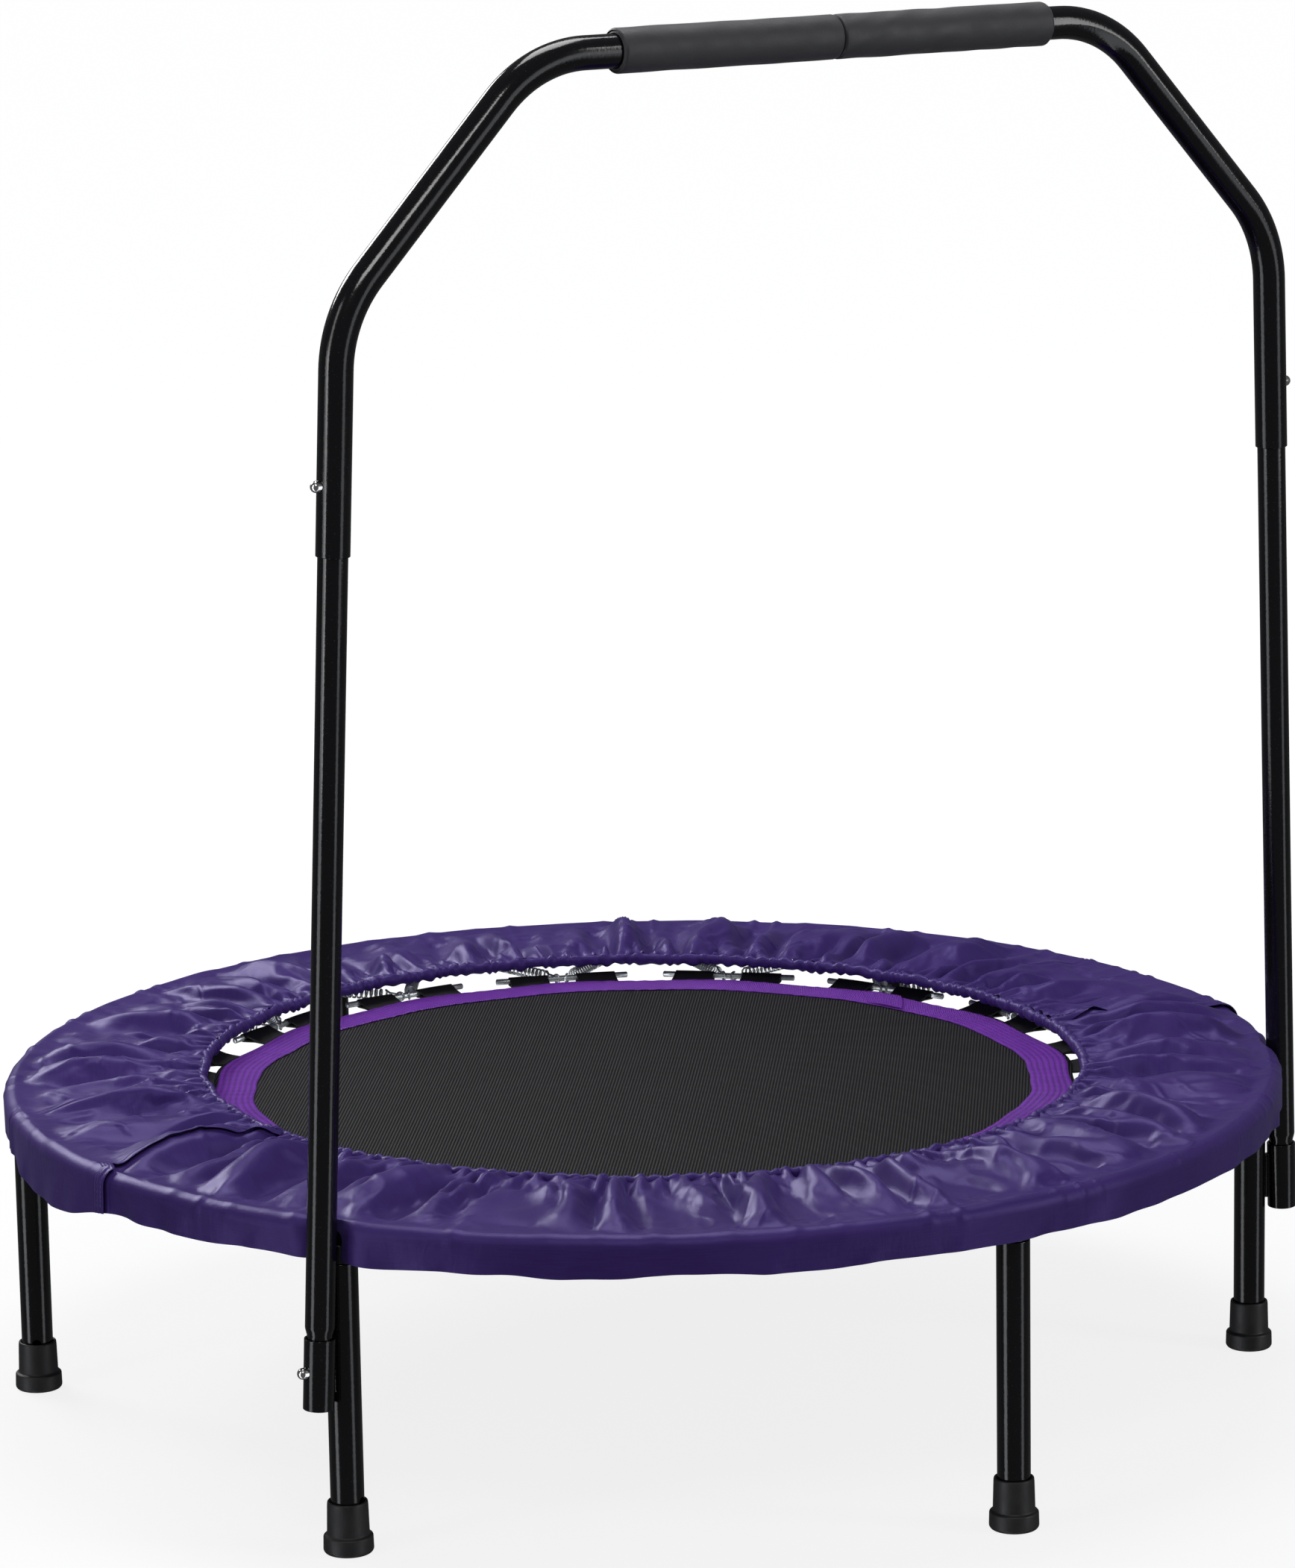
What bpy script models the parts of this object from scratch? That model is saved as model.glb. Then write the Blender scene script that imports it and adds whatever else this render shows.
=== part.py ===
"""Folding mini trampoline with a fixed U-shaped handlebar.

The origin is on the floor under the middle of the mat, +Z is up.  X runs along the
fold line, and the handlebar stands over the front half, which is at -Y.
All sizes are in metres.
"""

import math

import bmesh
import bpy
from mathutils import Matrix, Vector

# Ring frame and legs
RING_RADIUS = 0.491           # centre of the ring tube
RING_Z = 0.239
RING_TUBE = 0.011             # outer radius of the ring tube
TUBE_WALL = 0.0012
RING_END_GAP = 0.004          # each half ring stops this far from the fold line
LEG_TUBE = 0.0125
LEG_ANGLES = (30, 90, 150, 210, 270, 330)
LEG_BOTTOM = 0.008
LEG_TOP = 0.2215
BOSS_BOTTOM = 0.222
BOSS_TOP = 0.2353
STUD_RADIUS = 0.005
STUD_TOP = 0.245
FOOT_HEIGHT = 0.0392
LEG_HOLE = 0.0036

# Fold hinges: one bracket and two pins at each end of the fold line
PIN_Y = 0.025
PIN_RADIUS = 0.003
PIN_HEAD = 0.005
PLATE_INNER = (0.4758, 0.4773)
PLATE_OUTER = (0.5023, 0.5038)
PLATE_HALF_LENGTH = 0.036
PLATE_HEIGHT = (0.2262, 0.2518)
WEB_HALF_LENGTH = 0.014
WEB_Z = (0.2503, 0.2515)

# Handle
LEAN = math.radians(2.3)      # the posts lean in towards each other
LEAN_OUT = math.radians(1.05)  # and away from the mat
SOCKET_CENTRE = Vector((0.4510, -0.2545, 0.1432))
SOCKET_RADIUS = 0.0115
SOCKET_BORE = 0.0099
SOCKET_HALF = 0.0266
POST_RADIUS = 0.011
SWAGE_RADIUS = 0.0094
POST_BOTTOM = -0.0245         # along the post, from the socket's centre
POST_TOP = 0.700
BAR_RADIUS = 0.0125
BAR_BORE = 0.0117
BAR_END_Z = 0.7416
BAR_SHOULDER_Z = 0.911        # where the leg of the bar would meet the slope
BAR_CORNER_X = 0.2550
BAR_TOP_Z = 1.0835
BAR_TOP_Y = SOCKET_CENTRE.y - (BAR_TOP_Z - SOCKET_CENTRE.z) * math.tan(LEAN_OUT)
BAR_BEND = 0.100
GRIP_RADIUS = 0.0165
GRIP_BORE = 0.0130
GRIP_LENGTH = 0.1920
GRIP_SEAM_X = 0.0050          # the two grips meet a little to the right of the bar's middle
LOWER_BUTTON = 0.0015         # along the post, from the socket's centre
UPPER_BUTTON = 0.6493
BUTTON_RADIUS = 0.0043

# Mat, its webbing, and the springs
MAT_Z = (0.2364, 0.2380)
MAT_RADIUS = 0.3480
MAT_SPLIT = 0.0006
BAND_INNER = 0.311
BAND_Z = (0.2383, 0.2395)
ROD_COUNT = 16
ROD_RADIUS = 0.370            # distance of each rod from the mat's centre
ROD_Z = 0.2372
ROD_THICKNESS = 0.0025
ROD_HALF_LENGTH = 0.057
LOOP_WIDTH = 0.034
LOOP_OFFSET = 0.0295          # centre of a webbing loop from the middle of its rod
SPRING_RADIUS = 0.0055
SPRING_SPREAD = math.radians(9.5)
SPRING_ANCHOR = 0.4786

# Spring cover
COVER_INNER = 0.358
COVER_OUTER = 0.510
COVER_SPLIT = 0.050
FLAP_HALF_WIDTH = 0.0155

GAP = 0.0003
ROUND_SIDES = 12


# ---------------------------------------------------------------- scene helpers

def clear_scene():
    for obj in list(bpy.data.objects):
        bpy.data.objects.remove(obj, do_unlink=True)
    for name in ("mini_trampoline", "cutters"):
        collection = bpy.data.collections.new(name)
        bpy.context.scene.collection.children.link(collection)


def material(name, colour, roughness, metallic=0.0):
    made = bpy.data.materials.new(name)
    made.use_nodes = True
    shader = made.node_tree.nodes["Principled BSDF"]
    shader.inputs["Base Color"].default_value = (*colour, 1.0)
    shader.inputs["Roughness"].default_value = roughness
    shader.inputs["Metallic"].default_value = metallic
    return made


def place(name, data, collection="mini_trampoline"):
    obj = bpy.data.objects.new(name, data)
    bpy.data.collections[collection].objects.link(obj)
    return obj


def baked(obj):
    """Turn a curve or a mesh with modifiers into one plain, welded mesh object."""
    bpy.context.view_layer.update()
    depsgraph = bpy.context.evaluated_depsgraph_get()
    mesh = bpy.data.meshes.new_from_object(obj.evaluated_get(depsgraph))
    work = bmesh.new()
    work.from_mesh(mesh)
    bmesh.ops.remove_doubles(work, verts=work.verts, dist=0.00001)
    work.to_mesh(mesh)
    work.free()
    name, collection, matrix = obj.name, obj.users_collection[0].name, obj.matrix_world.copy()
    bpy.data.objects.remove(obj, do_unlink=True)
    made = place(name, mesh, collection)
    made.matrix_world = matrix
    return made


def combined(obj, others, operation):
    """Cut the others out of obj, or join them to it, and remove them."""
    for other in others:
        modifier = obj.modifiers.new(operation.lower(), "BOOLEAN")
        modifier.operation = operation
        modifier.object = other
        modifier.solver = "EXACT"
    made = baked(obj)
    for other in others:
        bpy.data.objects.remove(other, do_unlink=True)
    return made


def cut(obj, *cutters):
    return combined(obj, cutters, "DIFFERENCE")


def join(obj, *others):
    return combined(obj, others, "UNION")


def finished(obj, finish):
    obj.data.materials.clear()
    obj.data.materials.append(finish)
    obj.data.shade_smooth()
    obj.data.set_sharp_from_angle(angle=math.radians(35))
    return obj


# ---------------------------------------------------------------- shape helpers

def turned(name, profile, sides=ROUND_SIDES, closed=False, collection="mini_trampoline"):
    """Turn (radius, height) points, listed down the outer side, about the Z axis."""
    mesh = bpy.data.meshes.new(name)
    count = len(profile)
    edges = [(i, (i + 1) % count) for i in range(count if closed else count - 1)]
    edges = [(a, b) for a, b in edges if profile[a][0] > 0 or profile[b][0] > 0]
    mesh.from_pydata([(radius, 0, height) for radius, height in profile], edges, [])
    obj = place(name, mesh, collection)
    screw = obj.modifiers.new("turn", "SCREW")
    screw.steps = sides
    screw.render_steps = sides
    screw.use_merge_vertices = True
    screw.merge_threshold = 0.00001
    return baked(obj)


def rod(name, radius, start, end, sides=12, collection="cutters"):
    """A solid round bar between two points."""
    start, end = Vector(start), Vector(end)
    length = (end - start).length
    obj = turned(name, [(0, length), (radius, length), (radius, 0), (0, 0)], sides,
                 collection=collection)
    obj.matrix_world = aimed(start, end - start)
    return obj


def aimed(origin, direction, side=(0, 1, 0)):
    """A frame at origin whose Z runs along direction and whose Y is close to side."""
    z_axis = Vector(direction).normalized()
    x_axis = Vector(side).cross(z_axis)
    if x_axis.length < 0.01:
        x_axis = Vector((1, 0, 0)).cross(z_axis)
    x_axis.normalize()
    y_axis = z_axis.cross(x_axis)
    matrix = Matrix((x_axis, y_axis, z_axis)).transposed().to_4x4()
    matrix.translation = origin
    return matrix


def block(name, low, high, collection="cutters"):
    low, high = Vector(low), Vector(high)
    work = bmesh.new()
    bmesh.ops.create_cube(work, size=1.0)
    bmesh.ops.scale(work, vec=high - low, verts=work.verts)
    bmesh.ops.translate(work, vec=(low + high) / 2, verts=work.verts)
    mesh = bpy.data.meshes.new(name)
    work.to_mesh(mesh)
    work.free()
    return place(name, mesh, collection)


def extruded(name, outline, low, high, collection="mini_trampoline"):
    """A flat closed outline of (x, y) points, filled from z = low to z = high."""
    curve = bpy.data.curves.new(name, "CURVE")
    curve.dimensions = "2D"
    curve.fill_mode = "BOTH"
    curve.extrude = (high - low) / 2
    spline = curve.splines.new("POLY")
    spline.points.add(len(outline) - 1)
    for point, (x, y) in zip(spline.points, outline):
        point.co = (x, y, 0, 1)
    spline.use_cyclic_u = True
    obj = place(name, curve, collection)
    obj.location.z = (low + high) / 2
    return baked(obj)


def piped(name, points, radius, sides=ROUND_SIDES, collection="mini_trampoline"):
    """A solid round bar along a list of points."""
    curve = bpy.data.curves.new(name, "CURVE")
    curve.dimensions = "3D"
    curve.bevel_depth = radius
    curve.bevel_resolution = sides // 2 - 2
    curve.use_fill_caps = True
    spline = curve.splines.new("POLY")
    spline.points.add(len(points) - 1)
    for point, place_at in zip(spline.points, points):
        point.co = (*place_at, 1)
    return baked(place(name, curve, collection))


def polar(radius, angle, z=0.0):
    return Vector((radius * math.cos(angle), radius * math.sin(angle), z))


# ---------------------------------------------------------------- frame and legs

def torus(name, minor_radius, collection="mini_trampoline"):
    bpy.ops.mesh.primitive_torus_add(major_segments=48, minor_segments=10,
                                     major_radius=RING_RADIUS, minor_radius=minor_radius,
                                     location=(0, 0, RING_Z))
    obj = bpy.context.object
    obj.name = name
    for owner in obj.users_collection:
        owner.objects.unlink(obj)
    bpy.data.collections[collection].objects.link(obj)
    return obj


def half_frame(name, side, finish):
    """Half of the ring tube, on the side of the fold line that side gives (-1 or 1)."""
    angles = [math.radians(a) for a in LEG_ANGLES if math.sin(math.radians(a)) * side > 0]
    ends = sorted((side * RING_END_GAP, -side))
    ring = torus(name, RING_TUBE)
    ring = cut(ring, block("end", (-1, ends[0], 0), (1, ends[1], 1)))
    bosses = [rod("boss", LEG_TUBE, polar(RING_RADIUS, a, BOSS_BOTTOM),
                  polar(RING_RADIUS, a, BOSS_TOP), 14) for a in angles]
    ring = join(ring, *bosses)
    ring = cut(ring, torus("bore", RING_TUBE - TUBE_WALL, "cutters"))
    studs = [rod("stud_hole", STUD_RADIUS + GAP, polar(RING_RADIUS, a, BOSS_BOTTOM - 0.01),
                 polar(RING_RADIUS, a, RING_Z)) for a in angles]
    pins = [rod("pin_hole", PIN_RADIUS + 2 * GAP, (x * 0.45, side * PIN_Y, RING_Z),
                (x * 0.53, side * PIN_Y, RING_Z)) for x in (-1, 1)]
    return finished(cut(ring, *studs, *pins), finish)


def leg(number, angle, finish):
    """A leg tube with a plug and a threaded stud at its top and a hole near its foot."""
    inner = LEG_TUBE - TUBE_WALL
    plug = 0.004
    profile = [(0, STUD_TOP), (STUD_RADIUS, STUD_TOP), (STUD_RADIUS, LEG_TOP),
               (LEG_TUBE, LEG_TOP), (LEG_TUBE, LEG_BOTTOM), (inner, LEG_BOTTOM),
               (inner, LEG_TOP - plug), (0, LEG_TOP - plug)]
    tube = turned(f"leg_{number}", profile)
    tube.location = polar(RING_RADIUS, angle)
    bpy.context.view_layer.update()
    middle = polar(RING_RADIUS, angle, FOOT_HEIGHT)
    along = Vector((-math.sin(angle), math.cos(angle), 0))
    hole = rod("hole", LEG_HOLE, middle + along * 0.005, middle + along * 0.020)
    return finished(cut(tube, hole), finish)


def foot(number, angle, finish):
    """A rubber foot: a tapered collar over the leg tube and a wider flange below."""
    bore = LEG_TUBE + GAP
    floor = LEG_BOTTOM - GAP
    profile = [(bore, FOOT_HEIGHT), (0.0147, FOOT_HEIGHT), (0.0158, 0.0135),
               (0.0184, 0.0130), (0.0186, 0), (0, 0), (0, floor), (bore, floor)]
    obj = turned(f"foot_{number}", profile, closed=True)
    obj.location = polar(RING_RADIUS, angle)
    return finished(obj, finish)


# ---------------------------------------------------------------- fold hinges

def stadium(half_length, low, high, corner_steps=4):
    """A flat bar outline with round ends, as (length, height) points."""
    radius = (high - low) / 2
    middle = (high + low) / 2
    points = []
    for end in (1, -1):
        for step in range(2 * corner_steps + 1):
            turn = math.pi * (step / (2 * corner_steps) - 0.5)
            points.append((end * (half_length - radius + radius * math.cos(turn)),
                           middle + end * radius * math.sin(turn)))
    return points


def hinge_bracket(name, side, finish):
    """Two round-ended side plates and the web that joins them over the ring tube."""
    plates = []
    for inner, outer in (PLATE_INNER, PLATE_OUTER):
        plate = extruded("plate", stadium(PLATE_HALF_LENGTH, *PLATE_HEIGHT),
                         inner, outer, "cutters")
        plate.matrix_world = plate_matrix(side) @ plate.matrix_world
        plates.append(plate)
    across = sorted((side * (PLATE_INNER[0] + GAP), side * (PLATE_OUTER[1] - GAP)))
    web = block(name, (across[0], -WEB_HALF_LENGTH, WEB_Z[0]),
                (across[1], WEB_HALF_LENGTH, WEB_Z[1]), "mini_trampoline")
    bpy.context.view_layer.update()
    bracket = join(web, *plates)
    holes = [rod("hole", PIN_RADIUS + GAP, (side * 0.47, y, RING_Z), (side * 0.51, y, RING_Z))
             for y in (-PIN_Y, PIN_Y)]
    return finished(cut(bracket, *holes), finish)


def plate_matrix(side):
    """Stand an XY outline up in the YZ plane, at +X or -X."""
    return Matrix(((0, 0, side, 0), (side, 0, 0, 0), (0, 1, 0, 0), (0, 0, 0, 1)))


def hinge_pin(name, side, y, finish):
    head = 0.0014
    start, end = PLATE_INNER[0] - GAP - head, PLATE_OUTER[1] + GAP + head
    length = end - start
    profile = [(0, length), (PIN_HEAD, length), (PIN_HEAD, length - head),
               (PIN_RADIUS, length - head), (PIN_RADIUS, head), (PIN_HEAD, head),
               (PIN_HEAD, 0), (0, 0)]
    obj = turned(name, profile, 12)
    obj.matrix_world = aimed((side * start, y, RING_Z), (side, 0, 0))
    return finished(obj, finish)


# ---------------------------------------------------------------- handle

def post_frame(side):
    """Frame of a post: origin at its socket's centre, Z up the post, X outward."""
    centre = Vector((side * SOCKET_CENTRE.x, SOCKET_CENTRE.y, SOCKET_CENTRE.z))
    up = Vector((-side * math.tan(LEAN), -math.tan(LEAN_OUT), 1)).normalized()
    out = (Vector((side, 0, 0)) - up * up.x * side).normalized()
    matrix = Matrix((out, up.cross(out), up)).transposed().to_4x4()
    matrix.translation = centre
    return matrix


def button_hole(side, along, reach=0.03):
    frame = post_frame(side)
    return rod("button_hole", BUTTON_RADIUS + GAP, frame @ Vector((0.004, 0, along)),
               frame @ Vector((reach, 0, along)))


def handle_socket(name, side, finish):
    """A short open tube beside the leg, with the welded plate that joins them."""
    profile = [(SOCKET_RADIUS, SOCKET_HALF), (SOCKET_RADIUS, -SOCKET_HALF),
               (SOCKET_BORE, -SOCKET_HALF), (SOCKET_BORE, SOCKET_HALF)]
    tube = turned(name, profile, closed=True)
    frame = post_frame(side)
    tube.matrix_world = frame
    leg_centre = polar(RING_RADIUS, math.radians(330))
    leg_centre.x *= side
    reach = Vector((frame.translation.x, frame.translation.y, 0)) - leg_centre
    start = LEG_TUBE + GAP
    plate = block("plate", (start, -0.0025, -0.018), (reach.length - SOCKET_RADIUS + 0.001,
                                                      0.0025, 0.018))
    turn = math.atan2(reach.y, reach.x)
    plate.matrix_world = (Matrix.Translation((leg_centre.x, leg_centre.y, SOCKET_CENTRE.z))
                          @ Matrix.Rotation(turn, 4, "Z"))
    bpy.context.view_layer.update()
    tube = join(tube, plate)
    return finished(cut(tube, button_hole(side, LOWER_BUTTON)), finish)


def handle_post(name, side, finish):
    """A straight tube, swaged down at its lower end to enter the socket."""
    inner = POST_RADIUS - TUBE_WALL
    swage_inner = SWAGE_RADIUS - TUBE_WALL
    neck, shoulder = 0.0285, 0.0345
    profile = [(POST_RADIUS, POST_TOP), (POST_RADIUS, shoulder), (SWAGE_RADIUS, neck),
               (SWAGE_RADIUS, POST_BOTTOM), (swage_inner, POST_BOTTOM), (swage_inner, neck),
               (inner, shoulder), (inner, POST_TOP)]
    tube = turned(name, profile, closed=True)
    tube.matrix_world = post_frame(side)
    bpy.context.view_layer.update()
    holes = [button_hole(side, along) for along in (LOWER_BUTTON, UPPER_BUTTON)]
    return finished(cut(tube, *holes), finish)


def rounded(corners, radius, steps=5):
    """A path through corners, each inner corner rounded by an arc of the radius."""
    points = [corners[0]]
    for before, corner, after in zip(corners, corners[1:], corners[2:]):
        back, ahead = (before - corner).normalized(), (after - corner).normalized()
        half = back.angle(ahead) / 2
        centre = corner + (back + ahead).normalized() * (radius / math.sin(half))
        first = corner + back * (radius / math.tan(half)) - centre
        last = corner + ahead * (radius / math.tan(half)) - centre
        for step in range(steps + 1):
            turn = first.normalized().slerp(last.normalized(), step / steps)
            points.append(centre + turn * radius)
    points.append(corners[-1])
    return points


def bar_path(extra=0.0):
    """Centre line of the handlebar, from its left lower end to its right one."""
    frame = post_frame(1)
    up = frame.to_3x3().col[2]
    end = frame.translation + up * ((BAR_END_Z - SOCKET_CENTRE.z) / up.z - extra)
    shoulder = frame.translation + up * ((BAR_SHOULDER_Z - SOCKET_CENTRE.z) / up.z)
    top = Vector((BAR_CORNER_X, BAR_TOP_Y, BAR_TOP_Z))
    right = [top, shoulder, end]
    left = [Vector((-p.x, p.y, p.z)) for p in reversed(right)]
    return rounded(left + right, BAR_BEND)


def handle_bar(name, finish):
    bar = piped(name, bar_path(), BAR_RADIUS)
    bar = cut(bar, piped("bore", bar_path(0.01), BAR_BORE, collection="cutters"))
    return finished(cut(bar, *(button_hole(side, UPPER_BUTTON) for side in (-1, 1))), finish)


def grip(name, side, finish):
    ease = 0.0015
    profile = [(GRIP_BORE, GRIP_LENGTH), (GRIP_RADIUS - ease, GRIP_LENGTH),
               (GRIP_RADIUS, GRIP_LENGTH - ease), (GRIP_RADIUS, GAP + ease),
               (GRIP_RADIUS - ease, GAP), (GRIP_BORE, GAP)]
    obj = turned(name, profile, closed=True)
    obj.matrix_world = aimed((GRIP_SEAM_X, BAR_TOP_Y, BAR_TOP_Z), (side, 0, 0))
    return finished(obj, finish)


def snap_button(name, side, along, flange_at, tip_at, finish):
    """A domed button with a flange that holds it inside the tube."""
    flange = 0.0010
    dome = [(BUTTON_RADIUS * math.sin(t), tip_at - BUTTON_RADIUS * (1 - math.cos(t)))
            for t in (math.pi / 8 * step for step in range(5))]
    profile = dome + [(BUTTON_RADIUS, flange_at), (0.0050, flange_at),
                      (0.0050, flange_at - flange), (0, flange_at - flange)]
    obj = turned(name, profile, 12)
    frame = post_frame(side)
    obj.matrix_world = aimed(frame @ Vector((0, 0, along)), frame.to_3x3().col[0])
    return finished(obj, finish)


def snap_spring(name, side, along, flange_at, back_at, direction, finish):
    """A bent leaf spring: one leg on the far wall, the other under the button."""
    reach = 0.034
    path = [(-back_at, along), (-back_at, along + direction * (reach - 0.004)),
            (-back_at + 0.002, along + direction * (reach - 0.001)),
            (-back_at + 0.004, along + direction * reach),
            (-back_at + 0.006, along + direction * (reach - 0.002)),
            (flange_at - 0.0005, along + direction * 0.008),
            (flange_at - 0.0005, along - direction * 0.003)]
    half_width = 0.0035
    work = bmesh.new()
    rows = [[work.verts.new((u, v, s)) for v in (-half_width, half_width)] for u, s in path]
    for (a, b), (c, d) in zip(rows, rows[1:]):
        work.faces.new((a, b, d, c))
    mesh = bpy.data.meshes.new(name)
    work.to_mesh(mesh)
    work.free()
    obj = place(name, mesh)
    obj.matrix_world = post_frame(side)
    shell = obj.modifiers.new("thickness", "SOLIDIFY")
    shell.thickness = 0.0005
    shell.offset = 0.0
    return finished(baked(obj), finish)


# ---------------------------------------------------------------- mat and springs

def half_arc(side, radius, steps=24):
    """Points of an arc over one half, whose ends stop just short of the fold line."""
    points = []
    for step in range(steps + 1):
        x, y, _ = polar(radius, side * math.pi * step / steps)
        points.append((x, side * max(abs(y), MAT_SPLIT)))
    return points


def loop_frame(angle, offset):
    """Frame at a webbing loop: X outward, Y along its rod."""
    matrix = Matrix.Rotation(angle, 4, "Z")
    return matrix @ Matrix.Translation((ROD_RADIUS, offset, ROD_Z))


def webbing_loop(angle, offset):
    """A strap that runs in from the rod, and the sleeve that it makes round it."""
    half = LOOP_WIDTH / 2
    strap = block("strap", (-0.030, -half, -0.0006), (-0.002, half, 0.0006))
    strap.matrix_world = loop_frame(angle, offset)
    sleeve = turned("sleeve", [(0.0043, half), (0.0043, -half), (0.0033, -half), (0.0033, half)],
                    6, closed=True, collection="cutters")
    sleeve.matrix_world = loop_frame(angle, offset) @ Matrix.Rotation(-math.pi / 2, 4, "X")
    bore = turned("loop_bore", [(0, 0.03), (0.0034, 0.03), (0.0034, -0.03), (0, -0.03)], 6,
                  collection="cutters")
    bore.matrix_world = loop_frame(angle, offset) @ Matrix.Rotation(-math.pi / 2, 4, "X")
    bpy.context.view_layer.update()
    return join(cut(strap, bore), sleeve)


def rod_angles(side):
    """Angles of the rods that lie wholly on one half."""
    pitch = 2 * math.pi / ROD_COUNT
    return [side * pitch * k for k in range(1, ROD_COUNT // 2)]


def half_mat(name, side, finish):
    mat = extruded(name, half_arc(side, MAT_RADIUS), *MAT_Z)
    loops = []
    for angle in rod_angles(side):
        for offset in (-LOOP_OFFSET, LOOP_OFFSET):
            loops.append(webbing_loop(angle, offset))
    return finished(join(mat, *loops), finish)


def half_band(name, side, finish):
    """The webbing tape sewn on the mat along its edge."""
    outline = half_arc(side, MAT_RADIUS) + half_arc(side, BAND_INNER)[::-1]
    return finished(extruded(name, outline, *BAND_Z), finish)


def coil_spring(angle, turn, collection="cutters"):
    """The outer shape of one extension spring, from the rod's middle to the ring."""
    start = polar(ROD_RADIUS, angle, ROD_Z)
    end = polar(SPRING_ANCHOR, angle + turn * SPRING_SPREAD, RING_Z)
    length = (end - start).length
    hook = 0.015
    profile = [(0, length), (SPRING_RADIUS, length - hook), (SPRING_RADIUS, hook), (0, 0)]
    obj = turned("coil", profile, 6, collection=collection)
    obj.matrix_world = aimed(start, end - start)
    return obj


def spring_set(name, angle, finish):
    """One rod and the two springs that pull on its middle, as a single solid."""
    along = Vector((-math.sin(angle), math.cos(angle), 0)) * ROD_HALF_LENGTH
    middle = polar(ROD_RADIUS, angle, ROD_Z)
    bar = rod(name, ROD_THICKNESS, middle - along, middle + along, 6, "mini_trampoline")
    springs = [coil_spring(angle, turn) for turn in (-1, 1)]
    bpy.context.view_layer.update()
    return finished(join(bar, *springs), finish)


def fold_spring_set(name, angle, finish):
    """The set at an end of the fold line, whose two webbing loops fold with it."""
    obj = spring_set(name, angle, finish)
    sleeves = []
    for offset in (-LOOP_OFFSET, LOOP_OFFSET):
        half = LOOP_WIDTH / 2
        sleeve = block("sleeve", (-0.0175, -half, -0.0012), (0.0036, half, 0.0030))
        sleeve.matrix_world = loop_frame(angle, offset)
        sleeves.append(sleeve)
    bpy.context.view_layer.update()
    return finished(join(obj, *sleeves), finish)


# ---------------------------------------------------------------- spring cover

def cover_ring(name, collection="mini_trampoline"):
    """The whole ring of the cover: gathered hem, flat top, round rim and skirt."""
    skirt_inner, skirt_bottom = 0.5063, 0.2262
    profile = [(COVER_INNER, 0.2600), (0.3640, 0.2622), (0.4100, 0.2600), (0.4700, 0.2562),
               (0.5020, 0.2558), (0.5075, 0.2545), (0.5095, 0.2515), (COVER_OUTER, 0.2450),
               (COVER_OUTER, skirt_bottom), (skirt_inner, skirt_bottom),
               (skirt_inner, 0.2508), (0.5052, 0.2526), (0.4700, 0.2528), (0.4100, 0.2560),
               (0.3640, 0.2560), (COVER_INNER, 0.2540)]
    return turned(name, profile, 48, closed=True, collection=collection)


def post_notches():
    """Room for the handle's posts, which stand against the front cover's rim."""
    notches = []
    for side in (-1, 1):
        frame = post_frame(side)
        notches.append(rod("notch", POST_RADIUS + 0.0008, frame @ Vector((0, 0, 0.04)),
                           frame @ Vector((0, 0, 0.20)), ROUND_SIDES))
    return notches


def half_cover(name, side, finish):
    ends = sorted((side * COVER_SPLIT, -side))
    cover = cut(cover_ring(name), block("end", (-1, ends[0], 0), (1, ends[1], 1)))
    if side < 0:
        cover = cut(cover, *post_notches())
    return finished(cover, finish)


def cover_flap(name, side, finish):
    """The panel of cover over one hinge."""
    ring = cover_ring(name)
    ends = sorted((0, -side))
    cutters = [block("half", (ends[0], -1, 0), (ends[1], 1, 1)),
               block("front", (-1, -1, 0), (1, -FLAP_HALF_WIDTH, 1)),
               block("rear", (-1, FLAP_HALF_WIDTH, 0), (1, 1, 1))]
    return finished(cut(ring, *cutters), finish)


# ---------------------------------------------------------------- assembly

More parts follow.
